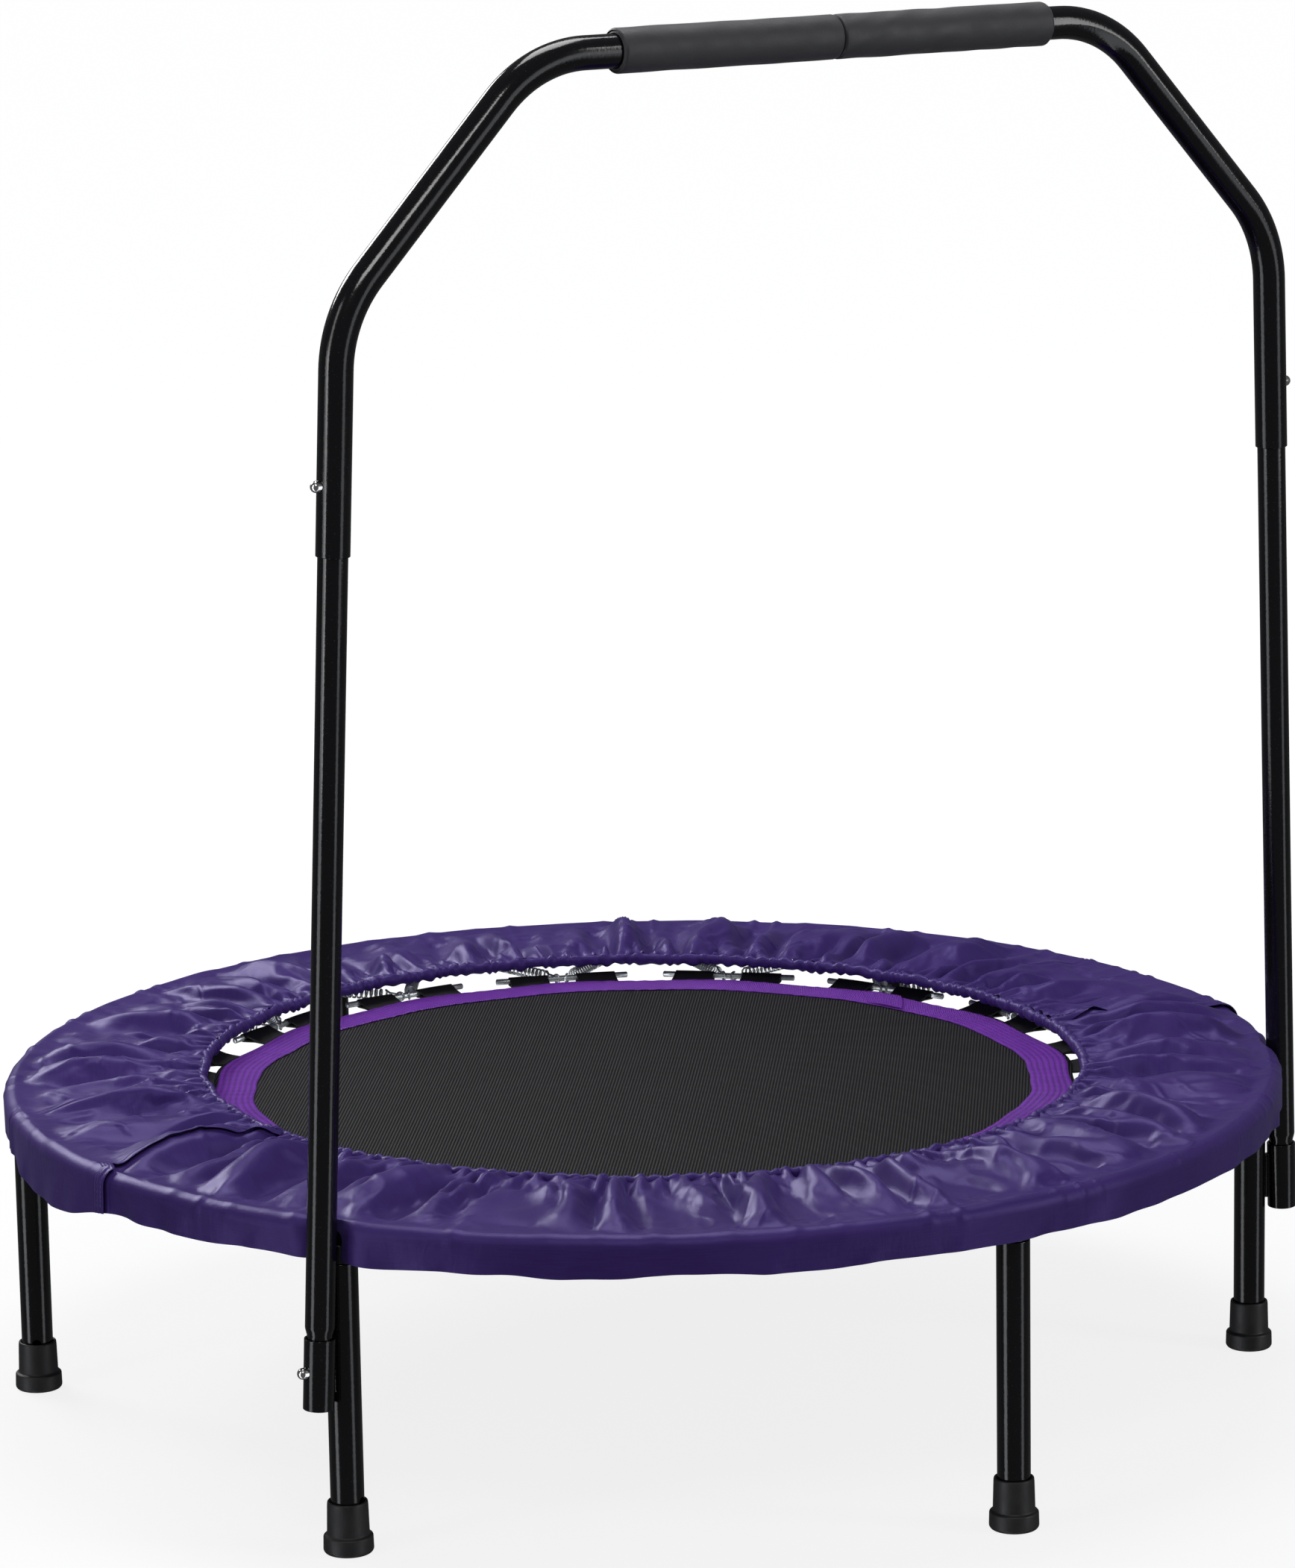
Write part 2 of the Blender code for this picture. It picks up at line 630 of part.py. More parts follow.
def build():
    clear_scene()
    black_paint = material("black_paint", (0.012, 0.012, 0.014), 0.28)
    rubber = material("rubber", (0.016, 0.016, 0.018), 0.60)
    foam = material("foam", (0.030, 0.030, 0.034), 0.75)
    zinc = material("zinc", (0.62, 0.64, 0.66), 0.30, 1.0)
    chrome = material("chrome", (0.80, 0.80, 0.82), 0.12, 1.0)
    mat_cloth = material("mat_cloth", (0.030, 0.030, 0.033), 0.60)
    tape = material("violet_webbing", (0.165, 0.020, 0.380), 0.55)
    nylon = material("violet_nylon", (0.050, 0.026, 0.140), 0.38)

    for half, side in (("front", -1), ("rear", 1)):
        half_frame(f"frame_{half}", side, black_paint)
        half_mat(f"mat_{half}", side, mat_cloth)
        half_band(f"mat_band_{half}", side, tape)
        half_cover(f"cover_{half}", side, nylon)

    for number, degrees in enumerate(LEG_ANGLES, start=1):
        leg(number, math.radians(degrees), black_paint)
        foot(number, math.radians(degrees), rubber)

    handle_bar("handle_bar", black_paint)
    for end, side in (("left", -1), ("right", 1)):
        hinge_bracket(f"hinge_bracket_{end}", side, zinc)
        hinge_pin(f"hinge_pin_{end}_front", side, -PIN_Y, zinc)
        hinge_pin(f"hinge_pin_{end}_rear", side, PIN_Y, zinc)
        cover_flap(f"cover_flap_{end}", side, nylon)
        handle_socket(f"handle_socket_{end}", side, black_paint)
        handle_post(f"handle_post_{end}", side, black_paint)
        grip(f"grip_{end}", side, foam)
        snap_button(f"snap_button_lower_{end}", side, LOWER_BUTTON, 0.0060, 0.0180, chrome)
        snap_button(f"snap_button_upper_{end}", side, UPPER_BUTTON, 0.0080, 0.0190, chrome)
        snap_spring(f"snap_spring_lower_{end}", side, LOWER_BUTTON, 0.0045, 0.0060, 1, zinc)
        snap_spring(f"snap_spring_upper_{end}", side, UPPER_BUTTON, 0.0065, 0.0075, -1, zinc)
        fold_spring_set(f"spring_set_fold_{end}", 0.0 if side > 0 else math.pi, zinc)

    angles = rod_angles(1) + rod_angles(-1)
    for number, angle in enumerate(angles, start=1):
        spring_set(f"spring_set_{number:02d}", angle, zinc)


build()
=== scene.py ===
"""Looks of the mini trampoline: fine meshes, fabric and materials around the CAD frame."""

import math

import bmesh
import bpy
import numpy as np
from mathutils import Matrix, Vector


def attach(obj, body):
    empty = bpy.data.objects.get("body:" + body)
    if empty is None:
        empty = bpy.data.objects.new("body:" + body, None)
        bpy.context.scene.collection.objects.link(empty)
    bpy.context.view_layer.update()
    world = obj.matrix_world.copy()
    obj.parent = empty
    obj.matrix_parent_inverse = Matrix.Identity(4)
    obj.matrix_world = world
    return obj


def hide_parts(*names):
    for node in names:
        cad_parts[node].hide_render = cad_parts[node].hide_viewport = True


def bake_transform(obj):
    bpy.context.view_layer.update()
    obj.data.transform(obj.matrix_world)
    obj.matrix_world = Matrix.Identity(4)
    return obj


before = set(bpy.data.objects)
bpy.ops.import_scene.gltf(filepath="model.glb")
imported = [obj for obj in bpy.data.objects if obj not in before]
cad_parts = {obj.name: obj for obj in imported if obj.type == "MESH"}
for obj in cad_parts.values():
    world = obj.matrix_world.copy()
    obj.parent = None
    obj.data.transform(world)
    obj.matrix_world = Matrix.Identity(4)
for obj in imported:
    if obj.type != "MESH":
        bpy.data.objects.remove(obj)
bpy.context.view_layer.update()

# ---------------------------------------------------------------- sizes, in metres

TURN = 2 * math.pi

RING_RADIUS, RING_Z = 0.491, 0.239
RING_TUBE, TUBE_WALL = 0.011, 0.0012
RING_END_GAP = 0.004

LEG_ANGLES = (30, 90, 150, 210, 270, 330)
LEG_TUBE, LEG_HOLE = 0.0125, 0.0036
LEG_BOTTOM, LEG_TOP, STUD_RADIUS, STUD_LENGTH = 0.008, 0.2215, 0.0047, 0.0230
FOOT_HEIGHT = 0.0392
BOSS_Z = 0.2220
BEAD_REACH, BEAD_RADIUS, BEAD_LOW, BEAD_HIGH = 0.0128, 0.0011, 0.2262, RING_Z - 0.0035

LEAN, LEAN_OUT = math.radians(2.3), math.radians(1.05)
SOCKET_CENTRE = Vector((0.4510, -0.2545, 0.1432))
SOCKET_RADIUS, SOCKET_BORE, SOCKET_HALF = 0.0115, 0.0099, 0.0266
POST_RADIUS, SWAGE_RADIUS = 0.011, 0.0094
POST_BOTTOM, POST_TOP = -0.0245, 0.700
POST_NECK, POST_SHOULDER = 0.0285, 0.0345
BAR_RADIUS, BAR_BORE, BAR_BEND = 0.0125, 0.0117, 0.100
BAR_END_Z, BAR_SHOULDER_Z, BAR_TOP_Z = 0.7416, 0.911, 1.0835
BAR_CORNER_X = 0.2550
BAR_TOP_Y = SOCKET_CENTRE.y - (BAR_TOP_Z - SOCKET_CENTRE.z) * math.tan(LEAN_OUT)
GRIP_RADIUS, GRIP_BORE, GRIP_LENGTH = 0.0165, 0.0130, 0.1920
GRIP_START, GRIP_EASE = 0.0004, 0.0022
GRIP_SEAM_X = 0.0050
BUTTON_RADIUS, BUTTON_FLANGE, FLANGE_THICKNESS = 0.0043, 0.0050, 0.0010
BUTTONS = {"lower": (0.0015, 0.0060, 0.0180), "upper": (0.6493, 0.0080, 0.0190)}

PIN_Y, PIN_RADIUS, PIN_HEAD, PIN_HEAD_LENGTH = 0.025, 0.003, 0.005, 0.0014
PIN_START, PIN_STOP = 0.4758 - 0.0017, 0.5038 + 0.0017

MAT_BOTTOM, MAT_TOP, MAT_TURNED = 0.2364, 0.2380, 0.0007
MAT_RADIUS, MAT_SCALLOP = 0.3480, 0.0030
BAND_INNER, BAND_OUTER = 0.3110, 0.3445
BAND_WIDTH = BAND_OUTER - BAND_INNER
BAND_BOTTOM, BAND_TOP = 0.2382, 0.2393
BAND_ROW = 0.0047
ROD_COUNT = 16
ROD_RADIUS, ROD_Z = 0.370, 0.2372
ROD_THICKNESS, ROD_HALF_LENGTH = 0.0025, 0.057
FOLD_ROD_GAP = 0.004  # share of a rod's half length left free on the fold line
LOOP_WIDTH, LOOP_OFFSET, LOOP_THICKNESS, LOOP_TAIL = 0.034, 0.0295, 0.0014, 0.045
SPRING_RADIUS, SPRING_WIRE, SPRING_TURNS = 0.0055, 0.0009, 23
SPRING_SPREAD, SPRING_END = math.radians(9.5), 0.0135
SPRING_ANCHOR = 0.4786

HEM_RADIUS, HEM_NARROWER, HEM_Z = 0.3560, 0.0070, 0.2570
RIM_RADIUS, COVER_OUTER = 0.4997, 0.5095
COVER_EDGE_Z, SKIRT_BOTTOM = 0.2558, 0.2252
COVER_CLOTH = 0.0006
COVER_COLUMNS, TOP_ROWS, RIM_ROWS, SKIRT_ROWS = 440, 28, 6, 7
HEM_RUFFLES = 210
FLAP_LIFT, FLAP_LAP = 0.0030, 2.2  # the lap in degrees
FLAP_LEFT_SLIT, FLAP_RIGHT_SLIT = 184.7, 343.0
FLAP_LEFT_SEAM, FLAP_RIGHT_SEAM = 161.0, 7.5
STITCH_PITCH, STITCH_LENGTH, STITCH_RADIUS, STITCH_RISE = 0.0036, 0.0026, 0.00045, 0.0006

FOLD_BANDS = (  # folds in a full turn, size, and where each band starts, is full and ends
    (150, 0.80, (-0.10, 0.00, 0.10, 0.34), 23),
    (84, 0.95, (0.02, 0.16, 0.34, 0.72), 24),
    (47, 1.10, (0.10, 0.36, 0.70, 1.00), 25),
    (27, 0.60, (0.25, 0.55, 0.82, 1.03), 26),
)
# Relief across a seam and along a slit: column away from it, and height
SEAM_RELIEF = ((-2, 0.0002), (-1, 0.0004), (0, -0.0012), (1, 0.0003), (2, 0.0006), (3, -0.0012),
               (4, 0.0011), (5, 0.0013), (6, 0.0010), (7, 0.0006), (8, 0.0003))
SLIT_RELIEF = ((0, 0.0006), (1, 0.0010), (2, 0.0001), (3, 0.0010), (4, 0.0010), (5, 0.0000),
               (6, 0.0008), (7, 0.0007), (8, -0.0005), (9, 0.0001))
SIMULATED_FRAMES, SIMULATED_REACH = 9, 0.006  # the reach is the most that a point may move
CLOTH = {"quality": 5, "mass": 0.10, "air_damping": 2.0, "tension_stiffness": 15,
         "compression_stiffness": 15, "shear_stiffness": 3, "bending_stiffness": 0.05}

SIDES = (("left", -1), ("right", 1))
HALVES = (("front", -1), ("rear", 1))
# Bodies on both sides of a bend, with the middles of the stretch between them, by half
BENDS = {-1: ("front", "links", (0, -0.05, 0), (0, 0, 0)),
         1: ("links", "rear", (0, 0, 0), (0, 0.05, 0))}

# Light: strength of the surround for matte and for glossy surfaces, soft boxes, and the floor,
# whose glow is dimmer near the object as a painted shadow round it
WHITE, SURROUND_COLOUR = (1, 1, 1), (0.94, 0.96, 1.0)
SURROUND_LIGHT, SURROUND_GLOSS = 0.24, 0.10
STRIPS = ((176.7, 13.0, 2.3), (297.0, 11.0, 1.3))  # bearing, half width and strength
SOFT_BOXES = (("back_light", (-0.6, 2.8, 2.2), (1.7, 0.9), 56),
              ("top_light", (0.3, 0.4, 3.2), (1.4, 1.4), 40),
              ("front_light", (-1.7, -2.6, 3.3), (1.2, 0.8), 24),
              ("left_light", (-3.4, -0.4, 1.5), (0.70, 2.6), 16),
              ("right_light", (2.3, -3.1, 1.7), (0.80, 2.6), 32))
SOFT_BOX_TARGET = (0, 0, 0.4)
# The floor's glow: dimmer out to the near radius round the object as a painted shadow, full from
# the far radius on
FLOOR_GLOW_IN_PAINTED_SHADOW, FLOOR_GLOW_FAR = 0.835, 0.96
FLOOR_PAINTED_SHADOW_RADIUS, FLOOR_FAR = 0.85, 2.0
FLOOR_COLOUR = (0.15, 0.15, 0.152)

CAMERA_PLACE, CAMERA_VIEW = (-2.395, -3.663, 1.372), (0.5377, 0.8192, -0.1994)
CAMERA_ROLL, CAMERA_LENS = math.radians(0.96), 129.25


# ---------------------------------------------------------------- shader nodes

class Nodes:
    """A shader tree under construction, with short calls that add its nodes."""

    def __init__(self, tree):
        self.tree = tree

    def set(self, node, values):
        for key, value in values.items():
            socket = node.inputs[key]
            if isinstance(value, bpy.types.NodeSocket):
                self.tree.links.new(value, socket)
            elif isinstance(value, tuple) and len(value) == 3 and socket.type == "RGBA":
                socket.default_value = (*value, 1)
            else:
                socket.default_value = value

    def node(self, kind, values=None, **options):
        made = self.tree.nodes.new("ShaderNode" + kind)
        for key, value in options.items():
            setattr(made, key, value)
        self.set(made, values or {})
        return made

    def place(self, kind="Object"):
        """Object places, in metres, or the mesh's own cloth coordinates for UV."""
        return self.node("TexCoord").outputs[kind]

    def maths(self, operation, *values):
        return self.node("Math", dict(enumerate(values)), operation=operation).outputs[0]

    def ramp(self, value, low, high, to_low=0.0, to_high=1.0, **options):
        return self.node("MapRange", {"Value": value, "From Min": low, "From Max": high,
                                      "To Min": to_low, "To Max": to_high}, **options).outputs[0]


class Finish(Nodes):
    """A material with one shader; an underscore in a socket's name stands for a space."""

    def __init__(self, name, colour, roughness, **sockets):
        self.material = bpy.data.materials.new(name)
        self.material.use_nodes = True
        self.material.diffuse_color = (*colour, 1)
        super().__init__(self.material.node_tree)
        self.done(Base_Color=colour, Roughness=roughness, **sockets)

    def done(self, **sockets):
        self.set(self.tree.nodes["Principled BSDF"],
                 {key.replace("_", " "): value for key, value in sockets.items()})
        return self.material

    def noise(self, where, scale, detail=3.0, roughness=0.55, distortion=0.0):
        return self.node("TexNoise", {"Vector": where, "Scale": scale, "Detail": detail,
                                      "Roughness": roughness,
                                      "Distortion": distortion}).outputs["Fac"]

    def stretched(self, where, scale, turn=0.0):
        return self.node("Mapping", {"Vector": where, "Scale": scale,
                                     "Rotation": (0, 0, turn)}).outputs[0]

    def wave(self, where, scale, direction="X", **values):
        """Even ribs, counted along one axis."""
        values = {key.replace("_", " "): value for key, value in values.items()}
        return self.node("TexWave", {"Vector": where, "Scale": scale, **values},
                         bands_direction=direction, wave_profile="SIN").outputs["Fac"]

    def blend(self, amount, first, second):
        return self.node("Mix", {0: amount, 6: first, 7: second}, data_type="RGBA").outputs[2]

    def bump(self, height, strength, distance, below=None):
        values = {"Height": height, "Strength": strength, "Distance": distance}
        if below is not None:
            values["Normal"] = below
        return self.node("Bump", values).outputs[0]


# ---------------------------------------------------------------- camera, light and floor

def make_camera():
    """A long lens at the front left, looking slightly down."""
    view = Vector(CAMERA_VIEW).normalized()
    right = view.cross(Vector((0, 0, 1))).normalized()
    up = right.cross(view)
    tilted_right = right * math.cos(CAMERA_ROLL) - up * math.sin(CAMERA_ROLL)
    tilted_up = up * math.cos(CAMERA_ROLL) + right * math.sin(CAMERA_ROLL)
    data = bpy.data.cameras.new("camera")
    data.sensor_fit = "AUTO"
    data.sensor_width = 36.0
    data.lens = CAMERA_LENS
    data.clip_end = 400
    camera = bpy.data.objects.new("camera", data)
    bpy.context.scene.collection.objects.link(camera)
    matrix = Matrix((tilted_right, tilted_up, -view)).transposed().to_4x4()
    matrix.translation = Vector(CAMERA_PLACE)
    camera.matrix_world = matrix
    bpy.context.scene.camera = camera


def soft_box(name, place_at, size, power):
    data = bpy.data.lights.new(name, "AREA")
    data.shape = "RECTANGLE"
    data.size, data.size_y = size
    data.energy = power
    lamp = bpy.data.objects.new(name, data)
    bpy.context.scene.collection.objects.link(lamp)
    lamp.location = place_at
    aim = Vector(SOFT_BOX_TARGET) - Vector(place_at)
    lamp.rotation_euler = aim.to_track_quat("-Z", "Y").to_euler()
    lamp.visible_camera = False


def strip_lights(sky):
    """Strength of the reflected surround: dim, with tall soft strips low at its sides."""
    x, y, z = sky.node("SeparateXYZ", {0: sky.place("Generated")}).outputs
    bearing = sky.maths("ARCTAN2", y, x)
    low = sky.maths("SMOOTH_MIN", sky.maths("MULTIPLY_ADD", z, -6.0, 1.4), 1.0, 0.1)
    low = sky.maths("MAXIMUM", low, 0.0)
    total = SURROUND_GLOSS
    for degrees, half_width, strength in STRIPS:
        away = sky.maths("COSINE", sky.maths("SUBTRACT", bearing, math.radians(degrees)))
        edge = math.cos(math.radians(half_width))
        soft = math.cos(math.radians(half_width * 0.6))
        inside = sky.maths("DIVIDE", sky.maths("SUBTRACT", away, edge), soft - edge)
        inside = sky.maths("MINIMUM", sky.maths("MAXIMUM", inside, 0.0), 1.0)
        strip = sky.maths("MULTIPLY", sky.maths("MULTIPLY", inside, low), strength)
        total = sky.maths("ADD", strip, total)
    return total


def make_studio():
    """A white studio: pale floor with a painted shadow round the object, soft boxes, and a
    surround that is dim in reflections.
    """
    scene = bpy.context.scene
    scene.view_settings.view_transform = "Standard"
    scene.world = bpy.data.worlds.new("studio")
    scene.world.use_nodes = True
    sky = Nodes(scene.world.node_tree)
    sky.tree.nodes.clear()
    ray = sky.node("LightPath").outputs
    matte, glossy, seen = (
        sky.node("Background", {"Color": colour, "Strength": strength}).outputs[0]
        for colour, strength in ((SURROUND_COLOUR, SURROUND_LIGHT),
                                 (SURROUND_COLOUR, strip_lights(sky)), (WHITE, 1.0)))
    inner = sky.node("MixShader", {0: ray["Is Glossy Ray"], 1: matte, 2: glossy}).outputs[0]
    outer = sky.node("MixShader", {0: ray["Is Camera Ray"], 1: inner, 2: seen}).outputs[0]
    sky.node("OutputWorld", {0: outer})
    for box in SOFT_BOXES:
        soft_box(*box)

    bpy.ops.mesh.primitive_plane_add(size=200)
    floor = bpy.context.object
    floor.name = "floor"
    finish = bpy.data.materials.new("floor")
    finish.use_nodes = True
    made = Nodes(finish.node_tree)
    made.tree.nodes.clear()
    # The floor glows less near the object and more further out: a painted shadow round the
    # object.
    away = made.node("VectorMath", {0: made.place()}, operation="LENGTH").outputs["Value"]
    strength = made.ramp(away, FLOOR_PAINTED_SHADOW_RADIUS, FLOOR_FAR, FLOOR_GLOW_IN_PAINTED_SHADOW, FLOOR_GLOW_FAR,
                         interpolation_type="SMOOTHSTEP")
    glow_with_painted_shadow = made.node("Emission", {"Color": WHITE, "Strength": strength}).outputs[0]
    matte = made.node("BsdfDiffuse", {"Color": FLOOR_COLOUR}).outputs[0]
    both = made.node("AddShader", {0: glow_with_painted_shadow, 1: matte}).outputs[0]
    made.node("OutputMaterial", {0: both})
    floor.data.materials.append(finish)
    floor.visible_glossy = False
    floor.visible_diffuse = False


# ---------------------------------------------------------------- materials

def paint():
    """Glossy black powder coat: faint orange peel, dust and rubbed spots."""
    made = Finish("black_paint", (0.0050, 0.0050, 0.0060), 0.1)
    where = made.place()
    patches = made.noise(where, 26, 4)
    specks = made.ramp(made.noise(where, 900, 1), 0.70, 0.78)
    colour = made.blend(specks, (0.0048, 0.0048, 0.0058), (0.040, 0.040, 0.044))
    peel = made.bump(made.noise(where, 420, 2), 0.10, 0.0006)
    return made.done(Base_Color=colour, Roughness=made.ramp(patches, 0.3, 0.7, 0.09, 0.17),
                     Normal=peel)


def rubber():
    """Moulded black rubber with a fine grain."""
    made = Finish("rubber", (0.013, 0.013, 0.014), 0.5)
    where = made.place()
    patches = made.noise(where, 60, 4)
    grain = made.bump(made.noise(where, 1500, 2), 0.25, 0.0003)
    colour = made.blend(patches, (0.010, 0.010, 0.011), (0.020, 0.020, 0.021))
    return made.done(Base_Color=colour, Roughness=made.ramp(patches, 0.3, 0.7, 0.42, 0.60),
                     Normal=grain)


def foam():
    """Closed-cell foam: matte charcoal with fine pores."""
    made = Finish("foam", (0.026, 0.026, 0.029), 0.72, Sheen_Weight=0.12)
    where = made.place()
    pores = made.node("TexVoronoi", {"Vector": where, "Scale": 1100.0}).outputs["Distance"]
    patches = made.noise(where, 45, 5)
    colour = made.blend(patches, (0.022, 0.022, 0.026), (0.038, 0.038, 0.044))
    skin = made.bump(made.noise(where, 90, 3), 0.20, 0.002)
    return made.done(Base_Color=colour, Normal=made.bump(pores, 0.22, 0.0004, skin),
                     Roughness=made.ramp(patches, 0.3, 0.7, 0.46, 0.62))


def zinc():
    """Bright galvanised steel with cloudy patches."""
    made = Finish("zinc", (0.78, 0.81, 0.82), 0.3, Metallic=0.72)
    where = made.place()
    clouds = made.noise(where, 160, 4)
    fine = made.noise(made.stretched(where, (1, 1, 6)), 700, 2)
    colour = made.blend(made.ramp(clouds, 0.35, 0.65), (0.78, 0.81, 0.82), (0.55, 0.59, 0.61))
    return made.done(Base_Color=colour, Roughness=made.ramp(clouds, 0.3, 0.7, 0.20, 0.40),
                     Normal=made.bump(fine, 0.12, 0.0003))


def chrome():
    """Polished nickel with hairline wear."""
    made = Finish("chrome", (0.78, 0.77, 0.75), 0.1, Metallic=1.0)
    wear = made.noise(made.stretched(made.place(), (1, 1, 8)), 1200, 3)
    return made.done(Roughness=made.ramp(wear, 0.35, 0.75, 0.07, 0.24),
                     Normal=made.bump(wear, 0.04, 0.0002))


def mat_cloth():
    """Woven polypropylene: a steep diagonal twill with slightly shiny tapes, painted lighter on
    the ribs and darker in the grooves as highlight and shade.
    """
    made = Finish("mat_cloth", (0.016, 0.016, 0.0175), 0.6, Specular_IOR_Level=0.14)
    where = made.place("UV")
    ribs = made.wave(made.stretched(where, (1, 1, 1), math.radians(38)), 128.0,
                     Distortion=0.6, Detail=1.0, Detail_Scale=3.0)
    picks = made.wave(made.stretched(where, (1, 1, 1), math.radians(-52)), 300.0)
    weave = made.maths("ADD", made.maths("MULTIPLY", ribs, 0.75),
                       made.maths("MULTIPLY", picks, 0.25))
    cloud = made.noise(where, 14, 4)
    # Colour follows the rib relief: rib tops painted lighter as highlight, grooves painted darker
    # as shade, times a random cloudy tone.
    painted_weave_shade_and_tone = made.maths("MULTIPLY", weave, made.ramp(cloud, 0.3, 0.7, 0.8, 1.0))
    colour = made.blend(painted_weave_shade_and_tone, (0.0015, 0.0015, 0.0018), (0.022, 0.022, 0.0245))
    return made.done(Base_Color=colour, Roughness=made.ramp(weave, 0, 1, 0.62, 0.46),
                     Normal=made.bump(weave, 0.75, 0.0011))


def violet_tape():
    """Polyester tape: ribbed rows along its length and a herringbone of fine yarns, with painted
    shade in the grooves between them.
    """
    made = Finish("violet_webbing", (0.19, 0.030, 0.43), 0.6, Specular_IOR_Level=0.3)
    where = made.place("UV")
    rows = made.wave(where, 67.0, "Y")
    side = made.node("SeparateXYZ", {"Vector": where})
    zigzag = made.maths("PINGPONG", side.outputs["Y"], BAND_ROW / 2)
    along = made.maths("ADD", side.outputs["X"], made.maths("MULTIPLY", zigzag, 1.1))
    slanted = made.node("CombineXYZ", {"X": along, "Y": side.outputs["Y"]}).outputs[0]
    yarns = made.wave(slanted, 150.0, Distortion=0.5)
    relief = made.maths("ADD", made.maths("MULTIPLY", rows, 0.6), yarns)
    fade = made.noise(where, 30, 4)
    base = made.blend(made.ramp(fade, 0.3, 0.7), (0.205, 0.024, 0.48), (0.275, 0.037, 0.62))
    # Painted shade: the colour darkens where the relief is low, in the grooves between rows and
    # yarns.
    colour = made.blend(made.ramp(relief, 0.1, 1.3), (0.050, 0.005, 0.15), base)
    return made.done(Base_Color=colour, Normal=made.bump(relief, 0.8, 0.0011),
                     Roughness=made.ramp(yarns, 0, 1, 0.62, 0.48))


def black_webbing():
    """Black polypropylene webbing with cross ribs, painted lighter on the rib tops and darker
    between them as highlight and shade.
    """
    made = Finish("black_webbing", (0.012, 0.012, 0.013), 0.5)
    where = made.place("UV")
    weave = made.maths("MULTIPLY", made.wave(where, 260.0), made.wave(where, 330.0, "Y"))
    # Painted highlight and shade: the colour follows the ribs' relief, lighter on top and darker
    # between.
    colour = made.blend(weave, (0.006, 0.006, 0.0065), (0.030, 0.030, 0.032))
    return made.done(Base_Color=colour, Normal=made.bump(weave, 0.5, 0.0006),
                     Roughness=made.ramp(weave, 0, 1, 0.6, 0.42))


def nylon():
    """Satin nylon: fine plain weave, slight colour drift and a tinted lustre."""
    made = Finish("violet_nylon", (0.046, 0.026, 0.150), 0.4, Sheen_Weight=0.06,
                  Sheen_Roughness=0.35, Sheen_Tint=(0.45, 0.40, 1.0), Specular_IOR_Level=0.50,
                  Specular_Tint=(0.46, 0.36, 1.0))
    where = made.place("UV")
    drift = made.noise(where, 9, 5)
    slubs = made.noise(made.stretched(where, (40, 900, 1)), 1.0, 3)
    weave = made.maths("ADD", made.wave(where, 620.0), made.wave(where, 620.0, "Y"))
    creases = made.noise(made.stretched(where, (1, 0.4, 1), 0.3), 120, 3, 0.6, 0.8)
    base = made.blend(made.ramp(drift, 0.3, 0.7), (0.035, 0.0165, 0.116), (0.047, 0.0225, 0.148))
    colour = made.blend(made.ramp(slubs, 0.35, 0.75, 0.0, 0.40), base, (0.062, 0.035, 0.178))
    fold = made.bump(creases, 0.20, 0.0014)
    return made.done(Base_Color=colour, Roughness=made.ramp(drift, 0.3, 0.7, 0.33, 0.43),
                     Normal=made.bump(weave, 0.12, 0.0003, fold))


def thread():
    """Violet sewing thread, a little lighter than the cloth."""
    made = Finish("violet_thread", (0.038, 0.020, 0.120), 0.45)
    twist = made.noise(made.place("UV"), 2500, 2)
    return made.done(Base_Color=made.blend(twist, (0.050, 0.028, 0.150), (0.110, 0.070, 0.290)))


FINISHES = {"paint": paint(), "rubber": rubber(), "foam": foam(), "zinc": zinc(),
            "chrome": chrome(), "mat": mat_cloth(), "tape": violet_tape(),
            "webbing": black_webbing(), "nylon": nylon(), "thread": thread()}


# ---------------------------------------------------------------- mesh helpers

def fit(obj, body, node=None):
    """Put a piece on its body, or on a half's bend, in place of its CAD node."""
    if body in BENDS:
        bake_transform(obj)
    else:
        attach(obj, body)
    if node:
        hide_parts(node)


def mesh_object(name, part, look, weld=False, sharp=50, normals=None):
    """A mesh object from points, faces and one uv pair for each point, or None."""
    points, faces, uvs = part
    mesh = bpy.data.meshes.new(name)
    mesh.from_pydata([tuple(p) for p in points], [], [tuple(f) for f in faces])
    if uvs is not None:
        layer = mesh.uv_layers.new(name="cloth")
        corners = np.empty(len(mesh.loops), np.int32)
        mesh.loops.foreach_get("vertex_index", corners)
        layer.data.foreach_set("uv", np.asarray(uvs, np.float32)[corners].ravel())
    if weld:
        work = bmesh.new()
        work.from_mesh(mesh)
        bmesh.ops.remove_doubles(work, verts=work.verts, dist=0.000002)
        bmesh.ops.dissolve_degenerate(work, edges=work.edges, dist=0.000001)
        work.to_mesh(mesh)
        work.free()
    mesh.shade_smooth()
    mesh.set_sharp_from_angle(angle=math.radians(sharp))
    if normals is not None:
        mesh.normals_split_custom_set_from_vertices([tuple(n) for n in normals])
    mesh.materials.append(FINISHES.get(look))
    obj = bpy.data.objects.new(name, mesh)
    bpy.context.scene.collection.objects.link(obj)
    return obj


def quads(rows, columns, wrap_rows=False, wrap_columns=False, first=0):
    """Faces of a grid whose points are listed row by row."""
    r = np.arange(rows if wrap_rows else rows - 1)
    c = np.arange(columns if wrap_columns else columns - 1)
    r, c = np.meshgrid(r, c, indexing="ij")
    below, ahead = (r + 1) % rows, (c + 1) % columns
    corners = (r * columns + c, r * columns + ahead, below * columns + ahead, below * columns + c)
    return np.stack([part.ravel() for part in corners], axis=1) + first


def stacked(*values):
    """Coordinates in one array of points, each brought to the same shape."""
    return np.stack(np.broadcast_arrays(*values), axis=-1)


def on_ring(radius, theta, height):
    """Points at a radius and an angle round Z."""
    return stacked(radius * np.cos(theta), radius * np.sin(theta), height)


def summed(steps):
    """Running total, from 0."""
    return np.concatenate([[0], np.cumsum(steps)])


